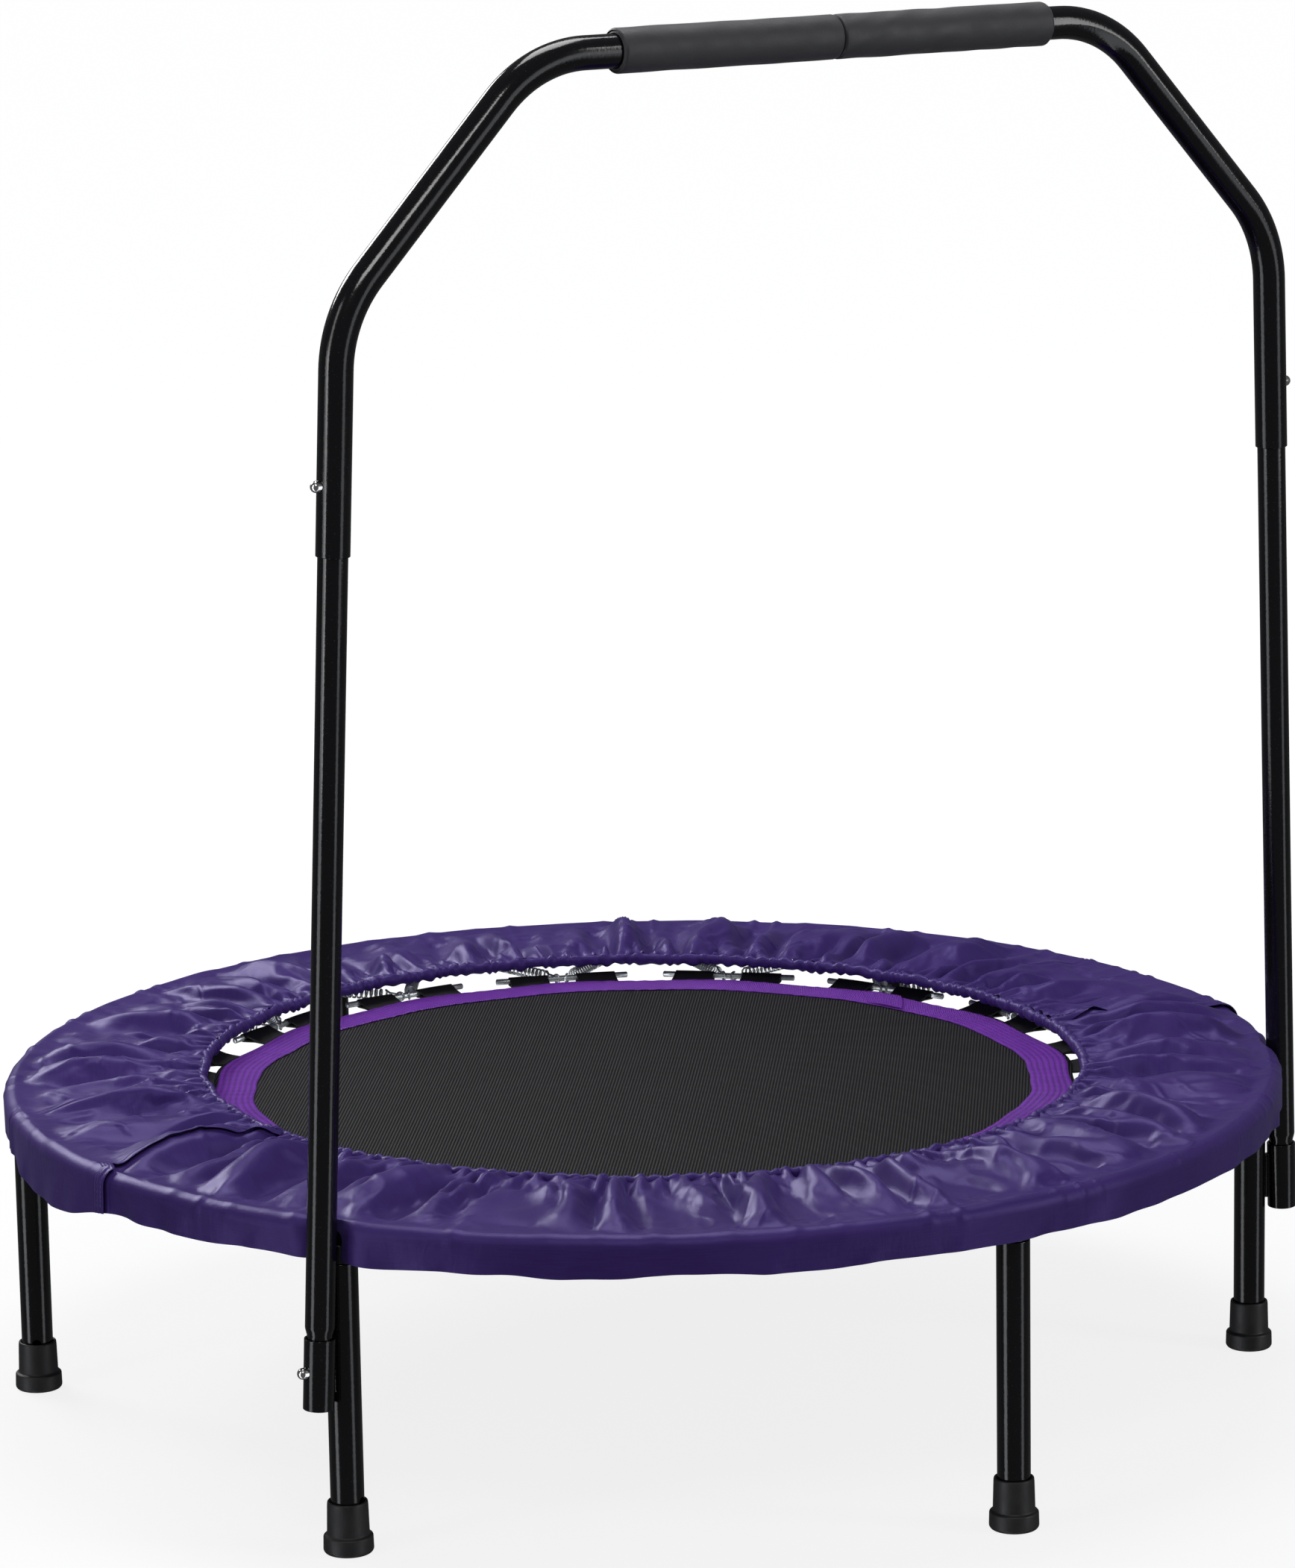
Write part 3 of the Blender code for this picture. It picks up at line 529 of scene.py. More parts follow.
def lengths_along(points):
    return summed(np.linalg.norm(np.diff(points, axis=0), axis=1))


def unit(vectors):
    return vectors / (np.linalg.norm(vectors, axis=-1)[..., None] + 1e-12)


def moved(part, matrix):
    """A part in the place that a matrix gives."""
    points, faces, uvs = part
    return points @ np.array(matrix.to_3x3()).T + np.array(matrix.translation), faces, uvs


def joined(parts):
    """Several parts in one."""
    points, faces, uvs, count = [], [], [], 0
    for part_points, part_faces, part_uvs in parts:
        points.append(part_points)
        faces.append(np.asarray(part_faces) + count)
        uvs.append(part_uvs)
        count += len(part_points)
    return np.concatenate(points), np.concatenate(faces), np.concatenate(uvs)


def softened(corners, radius, steps=3):
    """A closed outline with each corner rounded; a corner on the axis stays sharp."""
    points = []
    count = len(corners)
    for i, corner in enumerate(corners):
        before, after = Vector(corners[i - 1]), Vector(corners[(i + 1) % count])
        corner = Vector(corner)
        if corner.x < 1e-9:
            points.append(tuple(corner))
            continue
        back, ahead = before - corner, after - corner
        reach = min(radius, back.length * 0.45, ahead.length * 0.45)
        start, end = corner + back.normalized() * reach, corner + ahead.normalized() * reach
        for step in range(steps + 1):
            t = step / steps
            points.append(tuple(start * (1 - t) ** 2 + corner * 2 * t * (1 - t) + end * t * t))
    return points


def revolved(profile, sides, matrix=None):
    """A closed (radius, height) outline turned about Z."""
    outline = np.array(profile)
    turn = np.arange(sides) * TURN / sides
    points = on_ring(outline[:, :1], turn, outline[:, 1:]).reshape(-1, 3)
    uvs = stacked(turn * outline[:, 0].max(), lengths_along(outline)[:, None]).reshape(-1, 2)
    part = points, quads(len(outline), sides, True, True), uvs
    return part if matrix is None else moved(part, matrix)


def route_frames(points, closed=False):
    """Tangent, side and up at each point of a route, without twist."""
    if closed:
        tangents = np.roll(points, -1, 0) - np.roll(points, 1, 0)
    else:
        tangents = np.gradient(points, axis=0)
    tangents /= np.linalg.norm(tangents, axis=1)[:, None]
    start = np.cross(tangents[0], (0, 0, 1))
    if np.linalg.norm(start) < 0.05:
        start = np.cross(tangents[0], (0, 1, 0))
    sides = [start / np.linalg.norm(start)]
    for tangent in tangents[1:]:
        side = sides[-1] - tangent * np.dot(sides[-1], tangent)
        sides.append(side / np.linalg.norm(side))
    sides = np.array(sides)
    return tangents, sides, np.cross(tangents, sides)


def circles(side, up, count):
    """Unit circles across a route, and the angles of their points."""
    turn = -np.arange(count) * TURN / count
    side, up = side[:, None], up[:, None]
    return side * np.cos(turn)[None, :, None] + up * np.sin(turn)[None, :, None], turn


def piped(points, radius, sides, cap=True):
    """A round bar along a route, with domed ends; radius is one number or one per point."""
    points = np.asarray(points, float)
    radii = np.broadcast_to(np.asarray(radius, float), (len(points),)).copy()
    tangents, side, up = route_frames(points)
    if cap:
        ends = []
        for index, way in ((0, -1), (-1, 1)):
            size = radii[index]
            rings = [(way * size * 0.34 * math.sin(t), size * math.cos(t))
                     for t in (math.radians(35), math.radians(65), math.radians(89))]
            ends.append([(points[index] + tangents[index] * reach, r) for reach, r in rings])
        heads, tails = ends[0][::-1], ends[1]
        count = len(heads)
        points = np.concatenate([[p for p, _ in heads], points, [p for p, _ in tails]])
        radii = np.concatenate([[r for _, r in heads], radii, [r for _, r in tails]])
        side = np.concatenate([side[:1].repeat(count, 0), side, side[-1:].repeat(count, 0)])
        up = np.concatenate([up[:1].repeat(count, 0), up, up[-1:].repeat(count, 0)])
    ring, turn = circles(side, up, sides)
    grid = points[:, None] + ring * radii[:, None, None]
    uvs = stacked(lengths_along(points)[:, None], -turn * radii.max())
    return grid.reshape(-1, 3), quads(len(points), sides, False, True), uvs.reshape(-1, 2)


def closed_ends(name, part, look, sharp=50):
    """An object from piped parts, whose open end rings are filled."""
    obj = mesh_object(name, part, look, sharp=sharp)
    work = bmesh.new()
    work.from_mesh(obj.data)
    bmesh.ops.holes_fill(work, edges=[e for e in work.edges if e.is_boundary], sides=0)
    bmesh.ops.recalc_face_normals(work, faces=work.faces)
    work.to_mesh(obj.data)
    work.free()
    obj.data.shade_smooth()
    obj.data.set_sharp_from_angle(angle=math.radians(sharp))
    return obj


def swept_tube(points, outer, inner, sides, lip=0.0005):
    """A hollow tube along a route, its ends rounded over from the outside to the bore."""
    points = np.asarray(points, float)
    tangents, side, up = route_frames(points)
    ring, _ = circles(side, up, sides)
    first, last = points[0] + tangents[0] * lip, points[-1] - tangents[-1] * lip
    rows = [points[0] + ring[0] * inner, points[0] + ring[0] * (outer - lip),
            first + ring[0] * outer]
    rows += [points[i] + ring[i] * outer for i in range(1, len(points) - 1)]
    rows += [last + ring[-1] * outer, points[-1] + ring[-1] * (outer - lip),
             points[-1] + ring[-1] * inner]
    rows += [points[i] + ring[i] * inner for i in range(len(points) - 2, 0, -1)]
    grid = np.array(rows)
    uvs = np.zeros((grid.size // 3, 2))
    return grid.reshape(-1, 3), quads(len(grid), sides, True, True), uvs


def slab(grid, uv, depth, normal=None):
    """A closed sheet from a grid of surface points, depth thick below them."""
    if normal is None:
        normal = unit(np.cross(np.gradient(grid, axis=1), np.gradient(grid, axis=0)))
    rows, columns = grid.shape[:2]
    points = np.concatenate([grid.reshape(-1, 3), (grid - normal * depth).reshape(-1, 3)])
    top = quads(rows, columns)
    shift = rows * columns
    under = quads(rows, columns, first=shift)[:, ::-1]
    index = np.arange(shift).reshape(rows, columns)
    edge = np.concatenate([index[0, :], index[1:, -1], index[-1, -2::-1], index[-2:0:-1, 0]])
    ahead = np.roll(edge, -1)
    walls = np.stack([ahead, edge, edge + shift, ahead + shift], axis=1)
    return points, np.concatenate([top, under, walls]), np.concatenate([uv.reshape(-1, 2)] * 2)


def cut_holes(obj, cutters):
    """Boolean holes, then the cutters are removed."""
    for cutter in cutters:
        hole = obj.modifiers.new("hole", "BOOLEAN")
        hole.operation = "DIFFERENCE"
        hole.solver = "EXACT"
        hole.object = cutter
    bpy.context.view_layer.update()
    graph = bpy.context.evaluated_depsgraph_get()
    mesh = bpy.data.meshes.new_from_object(obj.evaluated_get(graph))
    obj.modifiers.clear()
    obj.data = mesh
    mesh.shade_smooth()
    mesh.set_sharp_from_angle(angle=math.radians(40))
    for cutter in cutters:
        bpy.data.objects.remove(cutter, do_unlink=True)


def round_cutter(start, end, radius):
    route = [start, (start + end) / 2, end]
    return closed_ends("cutter", piped(route, radius, 20, cap=False), "paint")


def polar(radius, angle, z=0.0):
    return Vector((radius * math.cos(angle), radius * math.sin(angle), z))


def tangent_at(angle):
    return Vector((-math.sin(angle), math.cos(angle), 0))


def aimed(origin, direction):
    """A frame with its Z axis along a direction."""
    z_axis = Vector(direction).normalized()
    helper = Vector((0, 1, 0)) if abs(z_axis.y) < 0.9 else Vector((1, 0, 0))
    x_axis = helper.cross(z_axis).normalized()
    matrix = Matrix((x_axis, z_axis.cross(x_axis), z_axis)).transposed().to_4x4()
    matrix.translation = origin
    return matrix


def waves(theta, around, seed, spread=0.3, terms=8):
    """Smooth irregular waves, about that many in a full turn, roughly within -1 to 1."""
    chance = np.random.default_rng(seed)
    total = np.zeros_like(theta)
    for _ in range(terms):
        count = max(1, round(around * chance.uniform(1 - spread, 1 + spread)))
        total += np.cos(count * theta + chance.uniform(0, TURN))
    return total / math.sqrt(terms) * 0.8


def smooth(value, low, high):
    t = np.clip((value - low) / (high - low), 0, 1)
    return t * t * (3 - 2 * t)


# ---------------------------------------------------------------- frame, legs and feet

def half_ring(half, side):
    """Half of the ring tube with its three welded leg bosses."""
    gap = math.asin(RING_END_GAP / RING_RADIUS)
    angles = np.linspace(side * gap, side * (math.pi - gap), 97)
    route = [polar(RING_RADIUS, a, RING_Z) for a in angles]
    parts = [swept_tube(route, RING_TUBE, RING_TUBE - TUBE_WALL, 24)]
    boss = softened([(0.0125, 0), (0.0125, 0.0140), (0.0110, 0.0140), (0.0054, 0.0110),
                     (0.0054, 0)], 0.0006)[::-1]
    for degrees in LEG_ANGLES:
        angle = math.radians(degrees)
        if math.sin(angle) * side > 0:
            base = aimed(polar(RING_RADIUS, angle, BOSS_Z), (0, 0, 1))
            parts += [revolved(boss, 32, base), weld_bead(angle)]
    tube = mesh_object(f"frame_{half}_tube", (*joined(parts)[:2], None), "paint")
    fit(tube, half, f"frame_{half}")


def weld_bead(angle):
    """The wavy bead where a leg boss meets the ring tube."""
    turn = np.linspace(0, TURN, 61)[:-1]
    x, y = BEAD_REACH * np.cos(turn), BEAD_REACH * np.sin(turn)
    across = np.minimum(np.abs(x), RING_TUBE)
    drop = np.sqrt(np.maximum((RING_TUBE + 0.0006) ** 2 - across ** 2, 0))
    centre = np.stack([RING_RADIUS + x, y, np.clip(RING_Z - drop, BEAD_LOW, BEAD_HIGH)], axis=1)
    radius = BEAD_RADIUS * (1 + 0.22 * np.sin(17 * turn) + 0.1 * np.sin(29 * turn + 1))
    ring, _ = circles(*route_frames(centre, closed=True)[1:], 8)
    grid = centre[:, None] + ring * radius[:, None, None]
    part = grid.reshape(-1, 3), quads(len(centre), 8, True, True), np.zeros((grid.size // 3, 2))
    return moved(part, Matrix.Rotation(angle, 4, "Z"))


def make_leg(number, degrees):
    """A leg with its threaded stud and cross hole, and its rubber foot."""
    angle = math.radians(degrees)
    half = "rear" if degrees < 180 else "front"
    base = Matrix.Translation(polar(RING_RADIUS, angle))
    inner, stud_top, inside_top = LEG_TUBE - TUBE_WALL, LEG_TOP + STUD_LENGTH, LEG_TOP - 0.004
    outline = softened([(0, stud_top), (STUD_RADIUS, stud_top), (STUD_RADIUS, LEG_TOP),
                        (LEG_TUBE, LEG_TOP), (LEG_TUBE, LEG_BOTTOM), (inner, LEG_BOTTOM),
                        (inner, inside_top), (0, inside_top)], 0.0006)
    tube = mesh_object(f"leg_{number}_tube", revolved(outline, 48, base), "paint", weld=True)
    middle = polar(RING_RADIUS, angle, FOOT_HEIGHT + 0.0004)
    along = tangent_at(angle)
    cut_holes(tube, [round_cutter(middle + along * 0.005, middle + along * 0.020, LEG_HOLE)])
    fit(tube, half, f"leg_{number}")

    bore, floor = LEG_TUBE + 0.0003, LEG_BOTTOM - 0.0003
    collar = softened([(bore, FOOT_HEIGHT), (0.0149, FOOT_HEIGHT), (0.0152, 0.0365),
                       (0.0158, 0.0142), (0.0184, 0.0130), (0.0187, 0.0020), (0.0172, 0.0),
                       (0, 0), (0, floor), (bore, floor)], 0.0011, 4)
    shoe = mesh_object(f"foot_{number}_rubber", revolved(collar, 56, base), "rubber", weld=True)
    fit(shoe, half, f"foot_{number}")


# ---------------------------------------------------------------- handle

def post_frame(side):
    """Frame of a post: origin at its socket's centre, Z up the post, X outward."""
    centre = Vector((side * SOCKET_CENTRE.x, SOCKET_CENTRE.y, SOCKET_CENTRE.z))
    up = Vector((-side * math.tan(LEAN), -math.tan(LEAN_OUT), 1)).normalized()
    out = (Vector((side, 0, 0)) - up * up.x * side).normalized()
    matrix = Matrix((out, up.cross(out), up)).transposed().to_4x4()
    matrix.translation = centre
    return matrix


def button_cutter(side, level):
    matrix, along = post_frame(side), BUTTONS[level][0]
    return round_cutter(matrix @ Vector((0.004, 0, along)), matrix @ Vector((0.03, 0, along)),
                        BUTTON_RADIUS + 0.0004)


def make_socket(end, side):
    """The socket tube, the plate to the leg and the welds along it."""
    matrix = post_frame(side)
    outline = softened([(SOCKET_RADIUS, SOCKET_HALF), (SOCKET_RADIUS, -SOCKET_HALF),
                        (SOCKET_BORE, -SOCKET_HALF), (SOCKET_BORE, SOCKET_HALF)], 0.0004)
    tube = mesh_object(f"handle_socket_{end}_tube", revolved(outline, 48, matrix), "paint")
    cut_holes(tube, [button_cutter(side, "lower")])
    leg_centre = polar(RING_RADIUS, math.radians(330))
    leg_centre.x *= side
    reach = Vector((matrix.translation.x, matrix.translation.y, 0)) - leg_centre
    away = reach.normalized()
    across = Vector((-away.y, away.x, 0))
    base = Vector((leg_centre.x, leg_centre.y, SOCKET_CENTRE.z))
    start, stop = LEG_TUBE - 0.0006, reach.length - SOCKET_RADIUS + 0.0012
    heights, beat = np.linspace(-0.0172, 0.0172, 25), np.arange(25)
    parts = []
    for distance, swell in ((start + 0.0012, 0.0034), (stop - 0.0014, 0.0032)):
        for way in (-1, 1):
            route = [base + away * distance + across * way * 0.0019 + Vector((0, 0, h))
                     for h in heights]
            bumps = swell * (0.62 + 0.16 * np.sin(beat * 2.4 + way)
                             + 0.06 * np.sin(beat * 5.1 + 2 * way))
            parts.append(piped(route, bumps * 0.62, 10))
    parts.append(plate_between(base + away * start, base + away * stop, across, 0.0025, 0.018))
    beads = closed_ends(f"handle_socket_{end}_weld", joined(parts), "paint")
    for obj in (tube, beads):
        fit(obj, "front", f"handle_socket_{end}")


def plate_between(start, stop, across, half_thickness, half_height):
    """A flat plate on edge between two points."""
    corners = [place_at + across * way * half_thickness + Vector((0, 0, height * half_height))
               for place_at in (start, stop)
               for way, height in ((-1, -1), (1, -1), (1, 1), (-1, 1))]
    faces = [(0, 1, 5, 4), (1, 2, 6, 5), (2, 3, 7, 6), (3, 0, 4, 7), (3, 2, 1, 0), (4, 5, 6, 7)]
    return np.array(corners), np.array(faces), np.zeros((8, 2))


def make_post(end, side):
    """A post: a tube with a swaged lower end."""
    inner, swage_inner = POST_RADIUS - TUBE_WALL, SWAGE_RADIUS - TUBE_WALL
    corners = [(POST_RADIUS, POST_TOP), (POST_RADIUS, POST_SHOULDER), (SWAGE_RADIUS, POST_NECK),
               (SWAGE_RADIUS, POST_BOTTOM), (swage_inner, POST_BOTTOM),
               (swage_inner, POST_NECK), (inner, POST_SHOULDER), (inner, POST_TOP)]
    tube = mesh_object(f"handle_post_{end}_tube",
                       revolved(softened(corners, 0.0011, 4), 48, post_frame(side)), "paint")
    cut_holes(tube, [button_cutter(side, level) for level in BUTTONS])
    fit(tube, "front", f"handle_post_{end}")


def rounded_route(corners, radius, steps):
    """A route through corners, each inner corner rounded by an arc of the radius."""
    points = [corners[0]]
    for before, corner, after in zip(corners, corners[1:], corners[2:]):
        back, ahead = (before - corner).normalized(), (after - corner).normalized()
        half = back.angle(ahead) / 2
        centre = corner + (back + ahead).normalized() * (radius / math.sin(half))
        first = corner + back * (radius / math.tan(half)) - centre
        last = corner + ahead * (radius / math.tan(half)) - centre
        for step in range(steps + 1):
            turn = first.normalized().slerp(last.normalized(), step / steps)
            points.append(centre + turn * radius)
    points.append(corners[-1])
    return points


def make_bar():
    """The one-piece U of the handlebar."""
    matrix = post_frame(1)
    up = matrix.to_3x3().col[2]
    end, shoulder = (matrix.translation + up * ((height - SOCKET_CENTRE.z) / up.z)
                     for height in (BAR_END_Z, BAR_SHOULDER_Z))
    right = [Vector((BAR_CORNER_X, BAR_TOP_Y, BAR_TOP_Z)), shoulder, end]
    left = [Vector((-p.x, p.y, p.z)) for p in reversed(right)]
    route = rounded_route(left + right, BAR_BEND, 16)
    bar = mesh_object("handle_bar_tube", swept_tube(route, BAR_RADIUS, BAR_BORE, 40, 0.0004),
                      "paint")
    cut_holes(bar, [button_cutter(side, "upper") for _, side in SIDES])
    fit(bar, "front", "handle_bar")


def make_grip(end, side):
    """A foam sleeve with soft ends and a slightly uneven skin."""
    quarter = np.linspace(0, math.pi / 2, 5)
    outline = [(GRIP_RADIUS - GRIP_EASE * (1 - math.sin(t)),
                GRIP_START + GRIP_EASE * (1 - math.cos(t))) for t in quarter[:-1]]
    outline += [(GRIP_RADIUS, s)
                for s in np.linspace(GRIP_START + GRIP_EASE, GRIP_LENGTH - GRIP_EASE, 60)]
    outline += [(GRIP_RADIUS - GRIP_EASE * (1 - math.cos(t)),
                 GRIP_LENGTH - GRIP_EASE * (1 - math.sin(t)))
                for t in np.linspace(math.pi / 2, 0, 5)[1:]]
    outline += [(GRIP_BORE, GRIP_LENGTH), (GRIP_BORE, GRIP_START)]
    points, faces, uvs = revolved(outline[::-1], 56)
    turn = np.arctan2(points[:, 1], points[:, 0])
    uneven = (waves(turn + points[:, 2] * 40, 2, 3 + side, 0.5, 4) * 0.00018
              + waves(points[:, 2] * 30 + turn, 5, 8 + side, 0.5, 5) * 0.00016)
    outside = np.hypot(points[:, 0], points[:, 1]) > GRIP_BORE + 0.0008
    points[:, :2] *= (1 + np.where(outside, uneven, 0) / GRIP_RADIUS)[:, None]
    matrix = aimed((GRIP_SEAM_X, BAR_TOP_Y, BAR_TOP_Z), (side, 0, 0))
    grip = mesh_object(f"grip_{end}_foam", moved((points, faces, uvs), matrix), "foam", weld=True)
    fit(grip, "front", f"grip_{end}")


def make_button(level, end, side):
    """A domed snap button with its flange inside the tube."""
    along, flange_at, tip_at = BUTTONS[level]
    outline = [(BUTTON_RADIUS * math.sin(t), tip_at - BUTTON_RADIUS * (1 - math.cos(t)))
               for t in np.linspace(0, math.pi / 2, 9)]
    back = flange_at - FLANGE_THICKNESS
    outline += [(BUTTON_RADIUS, flange_at), (BUTTON_FLANGE, flange_at), (BUTTON_FLANGE, back),
                (0, back)]
    matrix = post_frame(side)
    place_at = aimed(matrix @ Vector((0, 0, along)), matrix.to_3x3().col[0])
    button = mesh_object(f"snap_button_{level}_{end}_dome", revolved(outline, 32, place_at),
                         "chrome", weld=True)
    fit(button, f"button_{level}_{end}", f"snap_button_{level}_{end}")


def make_hinge(end, side):
    """The pins with rolled heads; the bracket and leaf springs keep their CAD shape."""
    length = PIN_STOP - PIN_START
    neck = length - PIN_HEAD_LENGTH
    outline = softened([(0, length), (PIN_HEAD, length), (PIN_HEAD, neck), (PIN_RADIUS, neck),
                        (PIN_RADIUS, PIN_HEAD_LENGTH), (PIN_HEAD, PIN_HEAD_LENGTH),
                        (PIN_HEAD, 0), (0, 0)], 0.0006)
    for half, way in HALVES:
        matrix = aimed((side * PIN_START, way * PIN_Y, RING_Z), (side, 0, 0))
        pin = mesh_object(f"hinge_pin_{end}_{half}_steel", revolved(outline, 32, matrix), "zinc",
                          weld=True)
        fit(pin, "links", f"hinge_pin_{end}_{half}")
    for node in (f"hinge_bracket_{end}", f"snap_spring_lower_{end}", f"snap_spring_upper_{end}"):
        mesh = bpy.data.objects[node].data
        mesh.materials.clear()
        mesh.materials.append(FINISHES["zinc"])


# ---------------------------------------------------------------- mat, tape and springs

def make_mat(half, side):
    """Half of the jumping mat: flat woven cloth with a turned, scalloped edge."""
    theta = np.linspace(0, side * math.pi, 193)
    shares = np.concatenate([[0.002], np.linspace(0.08, 0.92, 22), np.linspace(0.94, 0.985, 4)])
    edge = MAT_RADIUS + MAT_SCALLOP * np.cos(ROD_COUNT * theta)
    face = shares[:, None] * edge[None, :]
    lip = np.array([1.0, 0.0, -1.0])[:, None]
    rim = edge[None, :] + np.array([-0.0006, 0.0, -0.0006])[:, None]
    rim_z = (MAT_TOP + MAT_BOTTOM) / 2 + lip * MAT_TURNED + np.zeros_like(rim)
    radii = np.concatenate([face, rim, face[::-1]])
    heights = np.concatenate([np.full_like(face, MAT_TOP), rim_z,
                              np.full_like(face, MAT_BOTTOM)])
    sag = 0.0006 * waves(np.broadcast_to(theta, radii.shape), 9, 5) * smooth(radii, 0.30, 0.35)
    grid = on_ring(radii, theta, heights + sag)
    faces = quads(*grid.shape[:2])
    if side > 0:
        faces = faces[:, ::-1]
    mat = closed_ends(f"mat_{half}_cloth",
                      (grid.reshape(-1, 3), faces, grid[..., :2].reshape(-1, 2)), "mat", 60)
    fit(mat, side, f"mat_{half}")


def half_rods(side):
    """Numbers of the spring sets that lie wholly on one half."""
    return range(1, 8) if side > 0 else range(8, 15)


def make_band(half, side):
    """Half of the violet tape sewn round the mat."""
    theta = np.linspace(0, side * math.pi, 289)
    shares = np.linspace(0, 1, 29)
    inner = BAND_INNER + 0.0012 * np.cos(ROD_COUNT * theta) + 0.0005 * waves(theta, 40, 11)
    outer = BAND_OUTER + MAT_SCALLOP * 0.9 * np.cos(ROD_COUNT * theta)
    radii = inner + (outer - inner) * shares[:, None]
    rows = 0.00028 * np.cos(TURN * shares * BAND_WIDTH / BAND_ROW)[:, None]
    edge = (smooth(shares, 0, 0.04) * smooth(1 - shares, 0, 0.04))[:, None]
    ripple = 0.00022 * waves(np.broadcast_to(theta, radii.shape), 180, 12)
    grid = on_ring(radii, theta, BAND_TOP - 0.0005 * (1 - edge) + rows * edge + ripple)
    uvs = stacked(theta * MAT_RADIUS, shares[:, None] * BAND_WIDTH)
    if side < 0:
        grid, uvs = grid[:, ::-1], uvs[:, ::-1]
    points, faces, flat = slab(grid[::-1], uvs[::-1], 0.0011)
    points[len(points) // 2:, 2] = BAND_BOTTOM
    band = mesh_object(f"mat_band_{half}_tape", (points, faces, flat), "tape")
    fit(band, side, f"mat_band_{half}")


def make_tape_end():
    """The end of the violet tape, lapped over its start and cut a little askew."""
    shares = np.linspace(0.02, 0.98, 22)[:, None]
    steps = np.linspace(0, 1, 26)
    theta = np.radians(12.0 + 5.0 * shares) + np.radians(7.0) * steps[None, :]
    radii = (BAND_INNER + 0.0006 + (BAND_WIDTH - 0.0012) * shares
             + 0.0012 * np.cos(ROD_COUNT * theta))
    rise = 0.0010 * (1 - smooth(steps, 0.55, 1.0))[None, :]
    ribs = 0.00025 * np.cos(TURN * shares * BAND_WIDTH / BAND_ROW)
    grid = on_ring(radii, theta, BAND_TOP + 0.0004 + rise + ribs)
    uvs = stacked(theta * MAT_RADIUS, shares * BAND_WIDTH)
    fit(mesh_object("mat_band_lap", slab(grid[::-1], uvs[::-1], 0.0009), "tape"), "rear")


def loop_part(angle, offset, seed):
    """A strap sewn under the mat's edge that turns round the rod and comes back."""
    wobble = np.random.default_rng(seed).uniform(-0.0006, 0.0006, 4)
    reach = ROD_THICKNESS + 0.0004 + LOOP_THICKNESS / 2
    tail = -LOOP_TAIL - ROD_RADIUS
    outline = [(tail + 0.361, -0.0031), (-0.022, -0.0029), (-0.012, -0.0026)]
    outline += [(reach * math.cos(t), reach * math.sin(t))
                for t in np.linspace(-math.pi * 0.58, math.pi * 0.62, 13)]
    outline += [(-0.010, 0.0006), (-0.0155, -0.0006), (-0.022, -0.0016), (tail + 0.366, -0.0017)]
    path = np.array(outline)
    lengths = lengths_along(path)[:, None]
    across = np.linspace(-0.5, 0.5, 9)[None] * LOOP_WIDTH
    cupped = 0.0009 * np.cos(across / LOOP_WIDTH * TURN) * 0.3
    ripple = wobble[1] * np.sin(across * 90 + 1) * smooth(-path[:, :1], 0.004, 0.012)
    grid = stacked(path[:, :1] + cupped,
                   across * (1 + 0.02 * np.sin(lengths * 150 + wobble[0] * 3000)),
                   path[:, 1:] + ripple)
    at_rod = Matrix.Rotation(angle, 4, "Z") @ Matrix.Translation((ROD_RADIUS, offset, ROD_Z))
    return moved(slab(grid, stacked(lengths, across), LOOP_THICKNESS), at_rod)


def spring_part(angle, turn):
    """One coil extension spring with a hook at each end, from the rod to the ring."""
    start = polar(ROD_RADIUS, angle, ROD_Z) + tangent_at(angle) * turn * 0.0045
    end = polar(SPRING_ANCHOR + 0.004, angle + turn * SPRING_SPREAD, RING_Z)
    length = (end - start).length
    radius, hook = SPRING_RADIUS - SPRING_WIRE, ROD_THICKNESS + SPRING_WIRE + 0.0002
    coil_end = length - SPRING_END
    route = [(hook * math.cos(t), 0, hook * math.sin(t))
             for t in np.linspace(math.radians(-200), math.radians(60), 10)]
    route.append((radius * 0.5, 0, SPRING_END * 0.72))
    for step in range(SPRING_TURNS * 10 + 1):
        t = step / 10 * TURN
        route.append((radius * math.cos(t), radius * math.sin(t),
                      SPRING_END + (coil_end - SPRING_END) * step / (SPRING_TURNS * 10)))
    route.append((radius * 0.5, 0, coil_end + SPRING_END * 0.28))
    route += [(hook * math.cos(t), 0, length - 0.001 + hook * math.sin(t))
              for t in np.linspace(math.radians(-60), math.radians(200), 10)]
    return moved(piped(route, SPRING_WIRE, 6), aimed(start, (end - start).normalized()))


def rod_part(angle, start, stop):
    """The stretch of a rod between two shares of its half length."""
    middle, along = polar(ROD_RADIUS, angle, ROD_Z), tangent_at(angle)
    route = [middle + along * s * ROD_HALF_LENGTH for s in np.linspace(start, stop, 9)]
    return piped(route, ROD_THICKNESS, 20)


def make_spring_set(number, angle, half):
    """A rod, its two springs and the two webbing loops that hold it."""
    node = f"spring_set_{number:02d}"
    parts = [rod_part(angle, -1, 1), spring_part(angle, -1), spring_part(angle, 1)]
    fit(closed_ends(f"{node}_steel", joined(parts), "zinc"), half, node)
    loops = [loop_part(angle, offset, number * 2 + i)
             for i, offset in enumerate((-LOOP_OFFSET, LOOP_OFFSET))]
    fit(mesh_object(f"webbing_loops_{number:02d}", joined(loops), "webbing"), half)


def make_fold_set(end, side):
    """The set on the fold line, cut there so that each half bends with its half."""
    angle = 0.0 if side > 0 else math.pi
    node = f"spring_set_fold_{end}"
    for half, way in HALVES:
        turn = way * side
        parts = [rod_part(angle, turn * FOLD_ROD_GAP, turn), spring_part(angle, turn)]
        fit(closed_ends(f"{node}_{half}_steel", joined(parts), "zinc"), way, node)
        loop = loop_part(angle, turn * LOOP_OFFSET, 50 + side + 4 * way)
        fit(mesh_object(f"webbing_loop_fold_{end}_{half}", loop, "webbing"), way)


